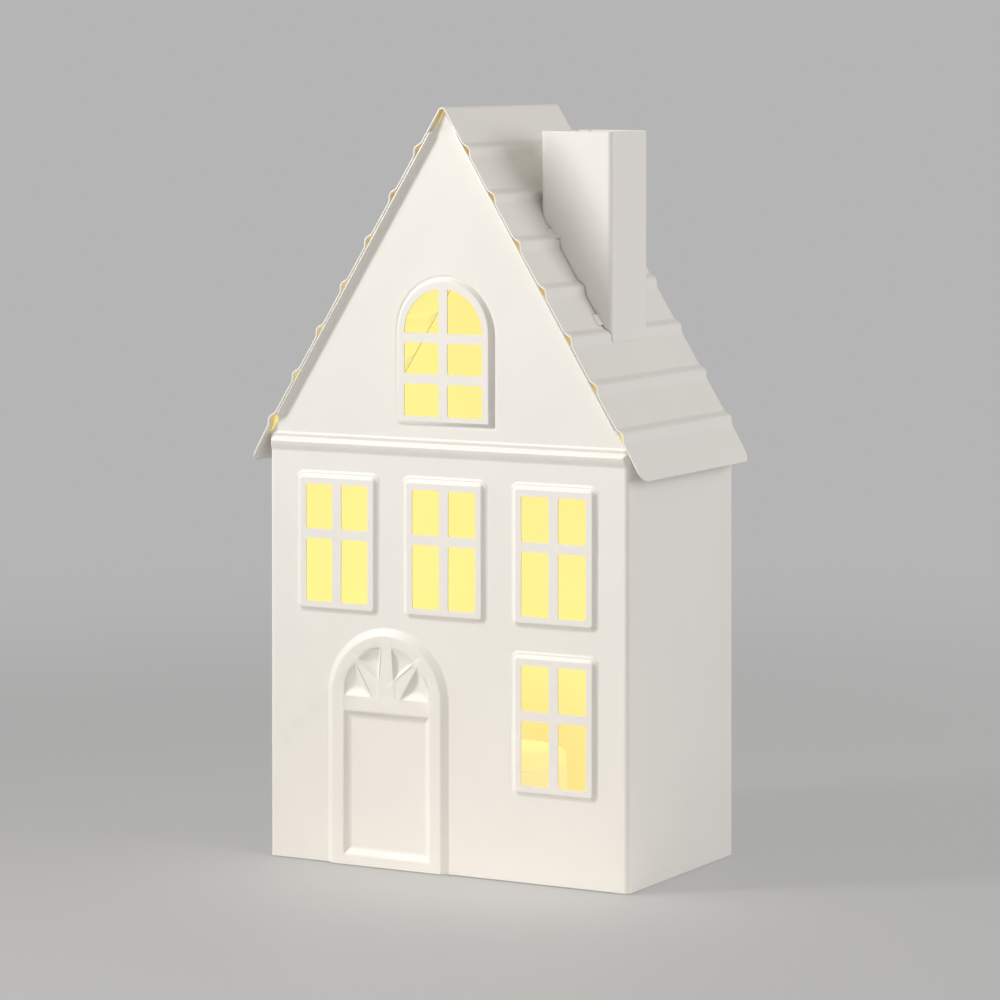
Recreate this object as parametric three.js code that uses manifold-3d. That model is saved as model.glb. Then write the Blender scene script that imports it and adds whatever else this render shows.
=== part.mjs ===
// A lit metal house for a shelf: walls, gables, roof, chimney and floor plate of thin painted steel sheet,
// pressed and folded, with a round battery light unit screwed to the floor plate.
// Millimetres, +Z up, front towards -Y. The origin is on the ground, under the middle of the roof.

import * as THREE from "three";
import { mergeVertices } from "three/addons/utils/BufferGeometryUtils.js";
import Module from "manifold-3d";

const wasm = await Module();
wasm.setup();

// House, outside sizes
const houseWidth = 164;
const houseDepth = 93;
const ridgeHeight = 305;
const shoulderHeight = 174.4; // where the roof's outer face crosses the line of the side wall
const eaveLength = 15.5; // along the slope, from the side wall to the edge of the roof
const eaveTuck = 0.65; // how far the edge of the eave leans in under the line of the slope
const frontOverhang = 2.7;
const eaveCornerRadius = 4.5;
const ridgeRadius = 1.8;

// Sheet metal
const sheet = 0.6;
const bendRadius = 2.2; // outside of the bend
const sheetGap = 0.3; // between two sheets that lie on each other, paint and spring included
const bendSteps = 4;

// Roof ribs, across each slope from front to back
const firstRib = 21.7; // along the slope, from where the two slopes would meet
const ribPitch = 21.6;
const ribHeight = 1.4;
const ribRunUp = 3.2;
const ribCrest = 1.3;
const ribRunDown = 3;

// Gable flanges, folded forwards under the front edge of the roof
const flangeTop = 8.5; // along the slope, from where the two slopes would meet
const flangeFromWall = 5; // from the side wall up to the flange's lower end, along the slope
const gableEdgeDrop = 1.9; // from the roof's outer face to the gable's edge where it has no flange
const frontFlange = 2.5;
const backFlange = 2.2;
const wallTopFlange = 7.5;
const returnWidth = 9; // the side walls' folded edges behind the back panel

// Pressed windows with four panes
const windowSpacing = 49.5;
const upperWindowSill = 102.9;
const lowerWindowSill = 36.5;
const windowWidth = 34;
const windowHeight = 52.4;
const windowPress = 1.5;
const windowSlope = 1.7;
const paneWidth = 12.4;
const mullion = 4.1;
const lowerPaneHeight = 25.5;
const upperPaneHeight = 18.1;
const paneSill = 2.3; // from the pressed frame's lower edge up to the lower panes
const transom = 3.8;
const paneCorner = 0.8;

// Arched window in the gable
const archSill = 179.9;
const archHalfWidth = 20.6;
const archSpring = 215.4;
const archPress = 1.6;
const archSlope = 1.9;
const archPaneWidth = 15.9;
const archMullion = 3.9;
const archPaneSill = 2;
const archLowerPane = 13;
const archMiddlePane = 12.6;
const archTransom = 3.8;
const archSteps = 16;

// Pressed door with a sunk panel and a fanlight
const doorCentre = -26.3;
const doorHalfWidth = 25;
const doorSpring = 68.2;
const doorPress = 1.8;
const doorSlope = 3;
const panelHalfWidth = 19.9;
const panelBottom = 4.5;
const panelTop = 62.3;
const panelSlope = 2.5;
const panelDepth = 1.7;
const petalInner = 7.2;
const petalOuter = 19.4;
const petalDepth = 1.2;
const petalFloorShare = 0.55;
const petalAngles = [
  [2, 42],
  [49, 82],
  [97, 131],
  [138, 178],
];

// Bead pressed across the front under the gable
const beadDrop = 1.4; // from the shoulder down to the bead
const beadHeight = 7.8;
const beadPress = 1.8;
const beadSlopeUnder = 2.6;
const beadSlopeOver = 1.8;
const beadEnd = 1.2; // from the side wall to the bead's end
const beadCorner = 0.5;

// Chimney, standing on the right slope
const chimneyLeft = 27;
const chimneyWidth = 32.3;
const chimneyFromFront = 29.85; // from the front wall's face
const chimneyDepth = 31.35;
const chimneyRise = 32.2; // above the slope at the chimney's left face
const chimneyBend = 2.2;
const chimneyLap = 6;
const chimneySeam = 1.6;
const tabInset = 5.8; // from the chimney's left and right faces to the middle of a tab
const tabWidth = 4.8;
const tabReach = 4;
const tabThrough = 2.5;
const slotGap = 0.3;

// Floor plate, folded down at its edges
const floorHeight = 10;
const floorFlangeFoot = 0.5; // the folded edges stay this much off the ground
const floorCornerCut = 3;

// Cells and their contacts
const cellDiameter = 10.5;
const cellLength = 44.5;
const cellGap = 0.5;
const cellNubDiameter = 3.8;
const cellNub = 0.8;
const cellClearance = 0.3;
const contactSpace = 0.95; // from a cell's end to the contact plate, where the leaf stands
const contactSheet = 0.4;
const contactMargin = 0.1; // of the plate beside its leaf
const contactHeight = 8;
const contactCornerGap = 0.13; // from the contact plate's corners to the housing
const contactSplit = 2; // between the two single contacts
const leafRise = 0.65;
const leafWidth = 4.8;
const leafHeight = 6;
const tailWidth = 2.4;
const tailEnd = 0.4; // above the board
const cellEdge = 0.5; // rounding of a cell's rims

// Light unit
const lampHeight = 43.7; // above the ground
const lampWall = 1.4;
const lampCapHeight = 5.2;
const lampShoulder = 3.7;
const capWall = 1.2;
const capSpigot = 3;
const lampHoleGap = 0.55;
const moldGap = 0.25; // between moulded pieces that fit into each other
const housingFlange = 1.9;
const housingFlangeReach = 2.5;
const trayFlange = 2.4;
const earRadius = 4;
const screwFromFlange = 2.1; // from the round flange's edge out to a lamp screw
const trayPlate = 1.6;
const coverThickness = 1.5;
const coverTongue = 0.6;
const coverTongueReach = 1.7;
const coverGrip = { grooves: 4, depth: 0.6, width: 1.2, pitch: 2.4, fromEnd: 7.4, fromSide: 3 };
const pocketFloor = 0.8;
const joinDepth = 0.5; // how far a solid runs into the one that it is joined to

// Circuit board and what stands on it
const boardGap = 3; // between the tray's plate and the board
const boardThickness = 1.6;
const boardEdgeGap = 0.65; // from the housing to the board's edge
const postRadius = 2.8;
const postPlace = 16;
const pilotSpare = 0.5; // below the board screws' tips
const ledSize = { diameter: 5, height: 8.6, rim: 0.4, rimHeight: 1, standOff: 2.4 };
const ledLegs = { spacing: 2.54, width: 0.5 };
const chipSize = [5, 4, 1.5];
const chipLegs = { perSide: 4, pitch: 1.27, width: 0.4, reach: 0.9, thickness: 0.25, standOff: 0.2 };
const chipPlace = 11; // from the light unit's axis, towards the back
const resistorSize = { length: 6.3, diameter: 2.4, lift: 0.3, lead: 0.6, leadReach: 1.5 };
const resistorPlace = 9; // from the light unit's axis, towards the front

// Slide switch
const switchPlace = 18.5; // from the light unit's axis, towards the front
const switchSize = [10.4, 4.4, 4];
const knobFoot = [3.6, 2, 1.2];
const knobStem = [2.4, 1.6];
const switchTravel = 4;
const knobRecess = 1;
const knobSink = 0.2; // of the knob's end in its recess
const recessMargin = 2;
const recessWidth = 6;
const lead = { diameter: 1.2, spacing: 6, bow: 0.3, gap: 0.05 };

// Screws
const lampScrew = { shank: 1.3, head: 2.6, headHeight: 1.7, length: 9.4, point: 1.2 };
const boardScrew = { shank: 1, head: 1.9, headHeight: 1.4, length: 4.3, point: 1 };
const screwGap = 0.15;

// Numbers that the parts share
const roofDepth = houseDepth + frontOverhang;
const frontFace = -roofDepth / 2 + frontOverhang;
const backFace = roofDepth / 2;
const halfWidth = houseWidth / 2;
const backPanelFace = backFace - sheet - sheetGap;
const through = 20; // a cutter this much longer than what it cuts

// The slopes meet above the rounded ridge, so their angle and that height are found together.
function slopeAndPeak() {
  let peak = ridgeHeight;
  let angle = 0;
  for (let i = 0; i < 12; i++) {
    angle = Math.atan2(peak - shoulderHeight, halfWidth);
    peak = ridgeHeight + ridgeRadius * (1 / Math.cos(angle) - 1);
  }
  return [angle, peak];
}

const [pitch, peakHeight] = slopeAndPeak();
const slopeToWall = halfWidth / Math.cos(pitch);
const slopeLength = slopeToWall + eaveLength;
const ribCount = 1 + Math.floor((slopeLength - firstRib - ribRunDown - ribCrest) / ribPitch);
const ribPlaces = Array.from({ length: ribCount }, (_, i) => firstRib + i * ribPitch);

// Solids from three.js geometry

function signedVolume(positions, triangles) {
  const a = new THREE.Vector3();
  const b = new THREE.Vector3();
  const c = new THREE.Vector3();
  let sum = 0;
  for (let i = 0; i < triangles.length; i += 3) {
    a.fromArray(positions, 3 * triangles[i]);
    b.fromArray(positions, 3 * triangles[i + 1]);
    c.fromArray(positions, 3 * triangles[i + 2]);
    sum += a.dot(b.cross(c));
  }
  return sum / 6;
}

// A closed geometry as a solid, turned so that its faces point out.
function solid(geometry) {
  geometry.deleteAttribute("normal");
  geometry.deleteAttribute("uv");
  const merged = mergeVertices(geometry, 1e-4);
  const positions = merged.attributes.position.array;
  const triangles = [];
  for (let i = 0; i < merged.index.count; i += 3) {
    const [a, b, c] = [0, 1, 2].map((k) => merged.index.getX(i + k));
    if (a !== b && b !== c && a !== c) triangles.push(a, b, c);
  }
  if (signedVolume(positions, triangles) < 0) triangles.reverse();
  return new wasm.Manifold(
    new wasm.Mesh({
      numProp: 3,
      vertProperties: positions,
      triVerts: new Uint32Array(triangles),
    }),
  );
}

function geometryOf(piece) {
  const mesh = piece.getMesh();
  const geometry = new THREE.BufferGeometry();
  geometry.setAttribute("position", new THREE.BufferAttribute(mesh.vertProperties, 3));
  geometry.setIndex(new THREE.BufferAttribute(mesh.triVerts, 1));
  geometry.computeVertexNormals();
  return geometry;
}

function box([x0, x1], [y0, y1], [z0, z1]) {
  const geometry = new THREE.BoxGeometry(x1 - x0, y1 - y0, z1 - z0);
  return solid(geometry.translate((x0 + x1) / 2, (y0 + y1) / 2, (z0 + z1) / 2));
}

function shapeOf(points) {
  return new THREE.Shape(points.map(([a, b]) => new THREE.Vector2(a, b)));
}

function extruded(points, depth) {
  return new THREE.ExtrudeGeometry(shapeOf(points), { depth, bevelEnabled: false });
}

// An outline in X and Y, from z0 to z1.
function alongZ(points, z0, z1) {
  return solid(extruded(points, z1 - z0).translate(0, 0, z0));
}

// An outline in X and Z, from y0 to y1.
function alongY(points, y0, y1) {
  return solid(extruded(points, y1 - y0).rotateX(Math.PI / 2).translate(0, y1, 0));
}

function cylinder(radius, z0, z1, x = 0, y = 0, sides = 32) {
  const geometry = new THREE.CylinderGeometry(radius, radius, z1 - z0, sides);
  return solid(geometry.rotateX(Math.PI / 2).translate(x, y, (z0 + z1) / 2));
}

// A profile of radius and height turned about Z; it starts and ends on the axis or closes on itself.
function turned(profile, sides = 48) {
  const points = profile.map(([r, z]) => new THREE.Vector2(r, z));
  return solid(new THREE.LatheGeometry(points, sides).rotateX(Math.PI / 2));
}

function ring(inner, outer, z0, z1, sides = 48) {
  return turned([[inner, z0], [outer, z0], [outer, z1], [inner, z1], [inner, z0]], sides);
}

// Rings of [x, z] points, one behind another, joined to a closed solid.
function loft(rings, places) {
  const count = rings[0].length;
  const positions = rings.flatMap((points, k) => points.flatMap(([x, z]) => [x, places[k], z]));
  const index = [];
  for (let k = 0; k + 1 < rings.length; k++) {
    for (let i = 0; i < count; i++) {
      const a = k * count + i;
      const b = k * count + ((i + 1) % count);
      index.push(a, b, b + count, a, b + count, a + count);
    }
  }
  const cap = (k) => THREE.ShapeUtils.triangulateShape(rings[k].map(([x, z]) => new THREE.Vector2(x, z)), []);
  const last = rings.length - 1;
  const base = last * count;
  cap(0).forEach(([a, b, c]) => index.push(c, b, a));
  cap(last).forEach(([a, b, c]) => index.push(base + a, base + b, base + c));
  const geometry = new THREE.BufferGeometry();
  geometry.setAttribute("position", new THREE.Float32BufferAttribute(positions, 3));
  geometry.setIndex(index);
  return solid(geometry);
}

// Outlines

function arc(cx, cy, radius, from, to, steps) {
  return Array.from({ length: steps + 1 }, (_, i) => {
    const angle = from + ((to - from) * i) / steps;
    return [cx + radius * Math.cos(angle), cy + radius * Math.sin(angle)];
  });
}

// An open path with its corners bent to a radius.
function rounded(path, radius, steps = bendSteps) {
  const out = [path[0]];
  for (let i = 1; i + 1 < path.length; i++) {
    const [a, b, c] = [path[i - 1], path[i], path[i + 1]].map(([x, y]) => new THREE.Vector2(x, y));
    const back = a.sub(b).normalize();
    const on = c.sub(b).normalize();
    const half = Math.acos(back.dot(on)) / 2;
    const middle = back.clone().add(on).normalize();
    const centre = b.clone().addScaledVector(middle, radius / Math.sin(half));
    const start = b.clone().addScaledVector(back, radius / Math.tan(half)).sub(centre);
    const end = b.clone().addScaledVector(on, radius / Math.tan(half)).sub(centre);
    const from = start.angle();
    let sweep = end.angle() - from;
    if (sweep > Math.PI) sweep -= 2 * Math.PI;
    if (sweep < -Math.PI) sweep += 2 * Math.PI;
    out.push(...arc(centre.x, centre.y, radius, from, from + sweep, steps));
  }
  out.push(path[path.length - 1]);
  return out;
}

// The outline of a bent strip: the path, and the same path set off to its left by the thickness.
function strip(path, thickness) {
  const points = path.map(([x, y]) => new THREE.Vector2(x, y));
  const normals = points.slice(1).map((p, i) => {
    const along = p.clone().sub(points[i]).normalize();
    return new THREE.Vector2(-along.y, along.x);
  });
  const other = points.map((p, i) => {
    const before = normals[Math.max(i - 1, 0)];
    const after = normals[Math.min(i, normals.length - 1)];
    const middle = before.clone().add(after).normalize();
    const reach = thickness / middle.dot(after);
    return [p.x + middle.x * reach, p.y + middle.y * reach];
  });
  return [...path, ...other.reverse()];
}

function roundedRectangle([x0, x1], [z0, z1], radius, steps = 2) {
  const quarter = Math.PI / 2;
  return [
    ...arc(x1 - radius, z0 + radius, radius, -quarter, 0, steps),
    ...arc(x1 - radius, z1 - radius, radius, 0, quarter, steps),
    ...arc(x0 + radius, z1 - radius, radius, quarter, 2 * quarter, steps),
    ...arc(x0 + radius, z0 + radius, radius, 2 * quarter, 3 * quarter, steps),
  ];
}

// Straight sides and a half-round top.
function archOutline(centre, halfSpan, bottom, spring, steps = archSteps) {
  return [
    [centre - halfSpan, bottom],
    [centre + halfSpan, bottom],
    ...arc(centre, spring, halfSpan, 0, Math.PI, steps),
  ];
}

function shrunk(points, share) {
  const cx = points.reduce((sum, [x]) => sum + x, 0) / points.length;
  const cz = points.reduce((sum, [, z]) => sum + z, 0) / points.length;
  return points.map(([x, z]) => [cx + (x - cx) * share, cz + (z - cz) * share]);
}

// A point on a slope: how far down the slope, and how far out of the roof's outer face.
function onRoof(side, along, out) {
  const x = along * Math.cos(pitch) + out * Math.sin(pitch);
  const z = peakHeight - along * Math.sin(pitch) + out * Math.cos(pitch);
  return [side * x, z];
}

// A solid modelled with X down the slope and Z out of the roof, set on the slope of one side.
function setOnRoof(geometry, side) {
  const down = new THREE.Vector3(side * Math.cos(pitch), 0, -Math.sin(pitch));
  const out = new THREE.Vector3(side * Math.sin(pitch), 0, Math.cos(pitch));
  const turn = new THREE.Matrix4().makeBasis(down, new THREE.Vector3(0, 1, 0), out);
  turn.setPosition(0, 0, peakHeight);
  return solid(geometry.applyMatrix4(turn));
}

function slopeBox([u0, u1], [v0, v1], [w0, w1], side = 1) {
  const geometry = new THREE.BoxGeometry(u1 - u0, v1 - v0, w1 - w0);
  return setOnRoof(geometry.translate((u0 + u1) / 2, (v0 + v1) / 2, (w0 + w1) / 2), side);
}

// The line of the ribbed roof from the left eave over the ridge to the right eave, lifted off by out.
function roofLine(out, radius) {
  const ribs = ribPlaces.flatMap((place) => [
    [place - ribCrest / 2 - ribRunUp, 0],
    [place - ribCrest / 2, ribHeight],
    [place + ribCrest / 2, ribHeight],
    [place + ribCrest / 2 + ribRunDown, 0],
  ]);
  const slope = [...ribs, [slopeLength, -eaveTuck]];
  const right = slope.map(([along, rise]) => onRoof(1, along, out + rise));
  const left = slope.map(([along, rise]) => onRoof(-1, along, out + rise)).reverse();
  const peak = [0, peakHeight + out / Math.cos(pitch)];
  const ridge = rounded([left[left.length - 1], peak, right[0]], radius).slice(1, -1);
  return [...left, ...ridge, ...right];
}

// Roof

function roofSheet() {
  const outer = roofLine(0, ridgeRadius);
  const inner = roofLine(-sheet, ridgeRadius - sheet);
  let roof = alongY([...outer, ...inner.reverse()], -roofDepth / 2, roofDepth / 2);
  for (const side of [-1, 1]) {
    for (const end of [-1, 1]) {
      roof = roof.subtract(eaveCorner(side, end));
    }
  }
  for (const [low, high] of slotRanges()) {
    for (const place of tabPlaces) {
      const across = [place - tabWidth / 2 - slotGap, place + tabWidth / 2 + slotGap];
      roof = roof.subtract(slopeBox(across, [low, high], [-through, through]));
    }
  }
  return roof;
}

// What is cut away to round one corner of the eave.
function eaveCorner(side, end) {
  const u = slopeLength - eaveCornerRadius;
  const v = end * (roofDepth / 2 - eaveCornerRadius);
  const from = end > 0 ? 0 : -Math.PI / 2;
  const curve = arc(u, v, eaveCornerRadius, from, from + Math.PI / 2, 6);
  const outline = [...curve, [u + 2 * eaveCornerRadius, v + end * 2 * eaveCornerRadius]];
  const first = end > 0 ? [u + 2 * eaveCornerRadius, v] : [u, v - 2 * eaveCornerRadius];
  const last = end > 0 ? [u, v + 2 * eaveCornerRadius] : [u + 2 * eaveCornerRadius, v];
  const corner = outline.pop();
  const points = [first, ...curve, last, corner];
  return setOnRoof(extruded(points, through).translate(0, 0, -through / 2), side);
}

// Chimney

const chimneyFront = frontFace + chimneyFromFront;
const chimneyBack = chimneyFront + chimneyDepth;
const chimneyRight = chimneyLeft + chimneyWidth;
const chimneyTop = peakHeight - chimneyLeft * Math.tan(pitch) + chimneyRise;

// Along the slope, from where the two slopes would meet.
const tabPlaces = [chimneyLeft + tabInset, chimneyRight - tabInset].map((x) => x / Math.cos(pitch));

// Where the slots for the chimney's tabs begin and end, in front of it and behind it.
function slotRanges() {
  return [
    [chimneyFront - tabReach - slotGap, chimneyFront - tabReach + sheet + slotGap],
    [chimneyBack + tabReach - sheet - slotGap, chimneyBack + tabReach + slotGap],
  ];
}

// One sheet folded to a square tube, lapped at the back, its foot cut along the ribbed slope.
function chimney() {
  const lapLine = chimneyBack - sheet - sheetGap;
  const path = [
    [chimneyLeft + chimneyLap, lapLine],
    [chimneyLeft, lapLine],
    [chimneyLeft, chimneyFront],
    [chimneyRight, chimneyFront],
    [chimneyRight, chimneyBack],
    [chimneyLeft + chimneySeam, chimneyBack],
  ];
  const plan = strip(rounded(path, chimneyBend, 3), sheet);
  let made = alongZ(plan, shoulderHeight, chimneyTop).subtract(underRoofLine(sheetGap));
  for (const place of tabPlaces) {
    made = made.add(chimneyTab(place, chimneyFront, -1)).add(chimneyTab(place, chimneyBack, 1));
  }
  return made;
}

// All that lies under the ribbed line of the roof, lifted off by out.
function underRoofLine(out) {
  const wide = [-houseWidth, houseWidth].map((x) => [x, 0]);
  return alongY([wide[0], ...roofLine(out, ridgeRadius), wide[1]], -houseDepth, houseDepth);
}

// A tab bent out of the chimney's foot, lying on the ribbed roof, its end turned down through a slot.
function chimneyTab(place, face, outwards) {
  const across = [place - tabWidth / 2, place + tabWidth / 2];
  const tip = face + outwards * tabReach;
  const sorted = (a, b) => [Math.min(a, b), Math.max(a, b)];
  const flat = slopeBox(across, sorted(face - outwards * sheet, tip), [-through, through]);
  const end = slopeBox(across, sorted(tip, tip - outwards * sheet), [-tabThrough, through]);
  return flat.subtract(underRoofLine(sheetGap)).add(end).intersect(underRoofLine(sheetGap + sheet));
}

// Walls

const flangeFoot = slopeToWall - flangeFromWall;
const flangeOut = -sheet - sheetGap; // outer face of a flange under the roof

// A gable's outline above the walls' foot: it reaches into its flanges, and steps in above and below them.
function gableOutline(half, foot) {
  const inFlange = flangeOut - sheet / 2;
  const wallAlong = (half + gableEdgeDrop * Math.sin(pitch)) / Math.cos(pitch);
  const right = [
    [half, foot],
    onRoof(1, wallAlong, -gableEdgeDrop),
    onRoof(1, flangeFoot, -gableEdgeDrop),
    onRoof(1, flangeFoot, inFlange),
    onRoof(1, flangeTop, inFlange),
    onRoof(1, flangeTop, -gableEdgeDrop),
  ];
  const tip = [0, peakHeight - gableEdgeDrop / Math.cos(pitch)];
  const left = right.map(([x, z]) => [-x, z]).reverse();
  return [...right, tip, ...left];
}

function slopeFlanges(y0, y1) {
  const strips = [-1, 1].map((side) => {
    const corners = [
      onRoof(side, flangeTop, flangeOut),
      onRoof(side, flangeFoot, flangeOut),
      onRoof(side, flangeFoot, flangeOut - sheet),
      onRoof(side, flangeTop, flangeOut - sheet),
    ];
    return alongY(corners, y0, y1);
  });
  return strips[0].add(strips[1]);
}

// A pressing between its edge on one level and its flat on another, run on a little past its edge.
function pressing(edge, flat, level, target) {
  const past = level - Math.sign(target - level);
  return loft([edge, edge, flat], [past, level, target]);
}

function windowPressing(centre, sill) {
  const edge = roundedRectangle(
    [centre - windowWidth / 2 - windowSlope, centre + windowWidth / 2 + windowSlope],
    [sill - windowSlope, sill + windowHeight + windowSlope],
    windowSlope + paneCorner,
  );
  const flat = roundedRectangle(
    [centre - windowWidth / 2, centre + windowWidth / 2],
    [sill, sill + windowHeight],
    paneCorner,
  );
  return pressing(edge, flat, frontFace, frontFace - windowPress);
}

function archPressing() {
  const edge = archOutline(0, archHalfWidth + archSlope, archSill - archSlope, archSpring);
  const flat = archOutline(0, archHalfWidth, archSill, archSpring);
  return pressing(edge, flat, frontFace, frontFace - archPress);
}

function doorPressing() {
  const edge = archOutline(doorCentre, doorHalfWidth + doorSlope, -through, doorSpring);
  const flat = archOutline(doorCentre, doorHalfWidth, -through, doorSpring);
  return pressing(edge, flat, frontFace, frontFace - doorPress);
}

function doorPanel() {
  const level = frontFace - doorPress;
  const edge = roundedRectangle(
    [doorCentre - panelHalfWidth, doorCentre + panelHalfWidth],
    [panelBottom, panelTop],
    paneCorner,
  );
  const flat = roundedRectangle(
    [doorCentre - panelHalfWidth + panelSlope, doorCentre + panelHalfWidth - panelSlope],
    [panelBottom + panelSlope, panelTop - panelSlope],
    paneCorner,
  );
  return pressing(edge, flat, level, level + panelDepth);
}

function fanlightPetal([low, high]) {
  const level = frontFace - doorPress;
  const from = THREE.MathUtils.degToRad(low);
  const to = THREE.MathUtils.degToRad(high);
  const edge = [
    ...arc(doorCentre, doorSpring, petalOuter, from, to, 4),
    ...arc(doorCentre, doorSpring, petalInner, to, from, 2),
  ];
  return pressing(edge, shrunk(edge, petalFloorShare), level, level + petalDepth);
}

function beadPressing() {
  const reach = halfWidth - beadEnd;
  const beadTop = shoulderHeight - beadDrop;
  const beadBottom = beadTop - beadHeight;
  const edge = roundedRectangle([-reach, reach], [beadBottom, beadTop], beadCorner, 1);
  const flat = roundedRectangle(
    [-reach + beadSlopeOver, reach - beadSlopeOver],
    [beadBottom + beadSlopeUnder, beadTop - beadSlopeOver],
    beadCorner,
    1,
  );
  return pressing(edge, flat, frontFace, frontFace - beadPress);
}

const windowPlaces = [
  [-windowSpacing, upperWindowSill],
  [0, upperWindowSill],
  [windowSpacing, upperWindowSill],
  [windowSpacing, lowerWindowSill],
];

// The front as a thick block: the flat wall and gable with all that is pressed out of it and into it.
function frontBlock() {
  const half = halfWidth - bendRadius;
  let block = alongY(gableOutline(half, -2 * through), frontFace, frontFace + 4 * bendRadius);
  for (const [centre, sill] of windowPlaces) {
    block = block.add(windowPressing(centre, sill));
  }
  block = block.add(archPressing()).add(beadPressing()).add(doorPressing()).subtract(doorPanel());
  for (const angles of petalAngles) {
    block = block.subtract(fanlightPetal(angles));
  }
  return block;
}

function paneCutter(outline) {
  return alongY(outline, frontFace - through, frontFace + through);
}

function windowPanes(centre, sill) {
  const low = sill + paneSill;
  const middle = low + lowerPaneHeight + transom;
  const rows = [
    [low, low + lowerPaneHeight],
    [middle, middle + upperPaneHeight],
  ];
  return rows.flatMap((row) =>
    [-1, 1].map((side) => {
      const near = centre + (side * mullion) / 2;
      const far = near + side * paneWidth;
      return paneCutter(roundedRectangle([Math.min(near, far), Math.max(near, far)], row, paneCorner));
    }),
  );
}

function archPanes() {
  const low = archSill + archPaneSill;
  const middle = low + archLowerPane + archTransom;
  const springLine = middle + archMiddlePane + archTransom;
  const rows = [
    [low, low + archLowerPane],
    [middle, middle + archMiddlePane],
  ];
  const near = archMullion / 2;
  const far = near + archPaneWidth;
  const straight = rows.flatMap((row) =>
    [-1, 1].map((side) => {
      const span = side < 0 ? [-far, -near] : [near, far];
      return paneCutter(roundedRectangle(span, row, paneCorner));
    }),
  );
  const quarters = [-1, 1].map((side) => {
    const curve = arc(0, springLine, far, 0, Math.acos(near / far), archSteps / 2);
    return paneCutter([[near, springLine], ...curve].map(([x, z]) => [side * x, z]));
  });
  return [...straight, ...quarters];
}

// A side wall with its bends to the front and to the folded edge at the back.
function sideWall(side) {
  const path = [
    [halfWidth - bendRadius - 1, frontFace],
    [halfWidth, frontFace],
    [halfWidth, backFace],
    [halfWidth - returnWidth, backFace],
  ];
  const plan = strip(rounded(path, bendRadius), sheet).map(([x, y]) => [side * x, y]);
  const top = heightUnderFlange(halfWidth, sheet);
  return alongZ(plan, -2 * through, top).add(topFlange(side));
}

// The height of a line under the roof, set in from its outer face, at a distance from the middle.
function heightUnderFlange(x, below) {
  const out = flangeOut - below;
  const along = (x - out * Math.sin(pitch)) / Math.cos(pitch);
  return onRoof(1, along, out)[1];
}

// The side wall's top edge folded inwards along the underside of the roof.
function topFlange(side) {
  const inner = halfWidth - sheet;
  const upper = onRoof(1, slopeToWall - wallTopFlange, flangeOut);
  const lower = onRoof(1, slopeToWall - wallTopFlange, flangeOut - sheet);
  const foot = shoulderHeight - 2 * bendRadius;
  const corners = [
    [halfWidth, foot],
    [halfWidth, heightUnderFlange(halfWidth, 0)],
    upper,
    lower,
    [inner, heightUnderFlange(inner, sheet)],
    [inner, foot],
  ].map(([x, z]) => [side * x, z]);
  return alongY(corners, frontFace + 2 * bendRadius, backFace - returnWidth);
}

// One sheet: the pressed and pierced front with its gable, and both side walls.
function wallShell() {
  const block = frontBlock();
  let front = block.subtract(block.translate([0, sheet, 0]));
  const panes = windowPlaces.flatMap(([centre, sill]) => windowPanes(centre, sill));
  for (const pane of [...panes, ...archPanes()]) {
    front = front.subtract(pane);
  }
  const flanges = slopeFlanges(frontFace - frontFlange, frontFace + sheet);
  const whole = front.add(flanges).add(sideWall(-1)).add(sideWall(1));
  return whole.subtract(box([-houseWidth, houseWidth], [-houseDepth, houseDepth], [-3 * through, 0]));
}

// The back wall and gable, behind the folded edges of the side walls, with flanges turned inwards.
function backPanel() {
  const half = halfWidth - bendRadius - sheetGap;
  const inner = backPanelFace - sheet;
  const panel = alongY(gableOutline(half, 0), inner, backPanelFace);
  return panel.add(slopeFlanges(inner - backFlange, backPanelFace));
}

// Floor plate

const floorFront = frontFace + sheet + sheetGap;
const floorBack = backPanelFace - sheet - sheetGap;
const floorHalf = halfWidth - sheet - sheetGap;
const lampY = frontFace + houseDepth / 2;

function floorOutline(inset) {
  const x = floorHalf - inset;
  const y0 = floorFront + inset;
  const y1 = floorBack - inset;
  const cut = floorCornerCut;
  return [
    [-x + cut, y0],
    [x - cut, y0],
    [x, y0 + cut],
    [x, y1 - cut],
    [x - cut, y1],
    [-x + cut, y1],
    [-x, y1 - cut],
    [-x, y0 + cut],
  ];
}

function floorPlate() {
  const tray = alongZ(floorOutline(0), floorFlangeFoot, floorHeight);
  const hollow = alongZ(floorOutline(sheet), floorFlangeFoot - 1, floorHeight - sheet);
  const hole = cylinder(lampRadius + lampHoleGap, 0, 2 * floorHeight, 0, lampY, 64);
  let plate = tray.subtract(hollow).subtract(hole);
  for (const side of [-1, 1]) {
    const place = lampY + side * earPlace;
    plate = plate.subtract(cylinder(lampScrew.shank + screwGap, 0, 2 * floorHeight, 0, place, 16));
  }
  return plate;
}

// Light unit. Its own axis is at the middle of the house, and heights are above the ground.

const cellOffset = (cellDiameter + cellGap) / 2;
const contactHalfWidth = cellOffset + leafWidth / 2 + contactMargin;
const contactFace = cellLength / 2 + contactSpace;
const housingInner = Math.hypot(contactFace + contactSheet, contactHalfWidth) + contactCornerGap;
const lampRadius = housingInner + lampWall;
const trayRadius = housingInner - moldGap;
const flangeRadius = lampRadius + housingFlangeReach;
const earPlace = flangeRadius + screwFromFlange;
const housingTopFace = floorHeight - sheet - sheetGap;
const housingFoot = housingTopFace - housingFlange;
const trayTopFace = housingFoot - sheetGap;
const trayFoot = trayTopFace - trayFlange;
const coverTop = trayFoot + coverThickness;
const cellBottom = coverTop + cellClearance;
const cellAxis = cellBottom + cellDiameter / 2;
const troughHalf = cellOffset + cellDiameter / 2 + cellClearance;
const troughTop = cellBottom + cellDiameter + cellClearance;
const trayTop = troughTop + trayPlate;
const boardUnder = trayTop + boardGap;
const boardTop = boardUnder + boardThickness;
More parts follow.
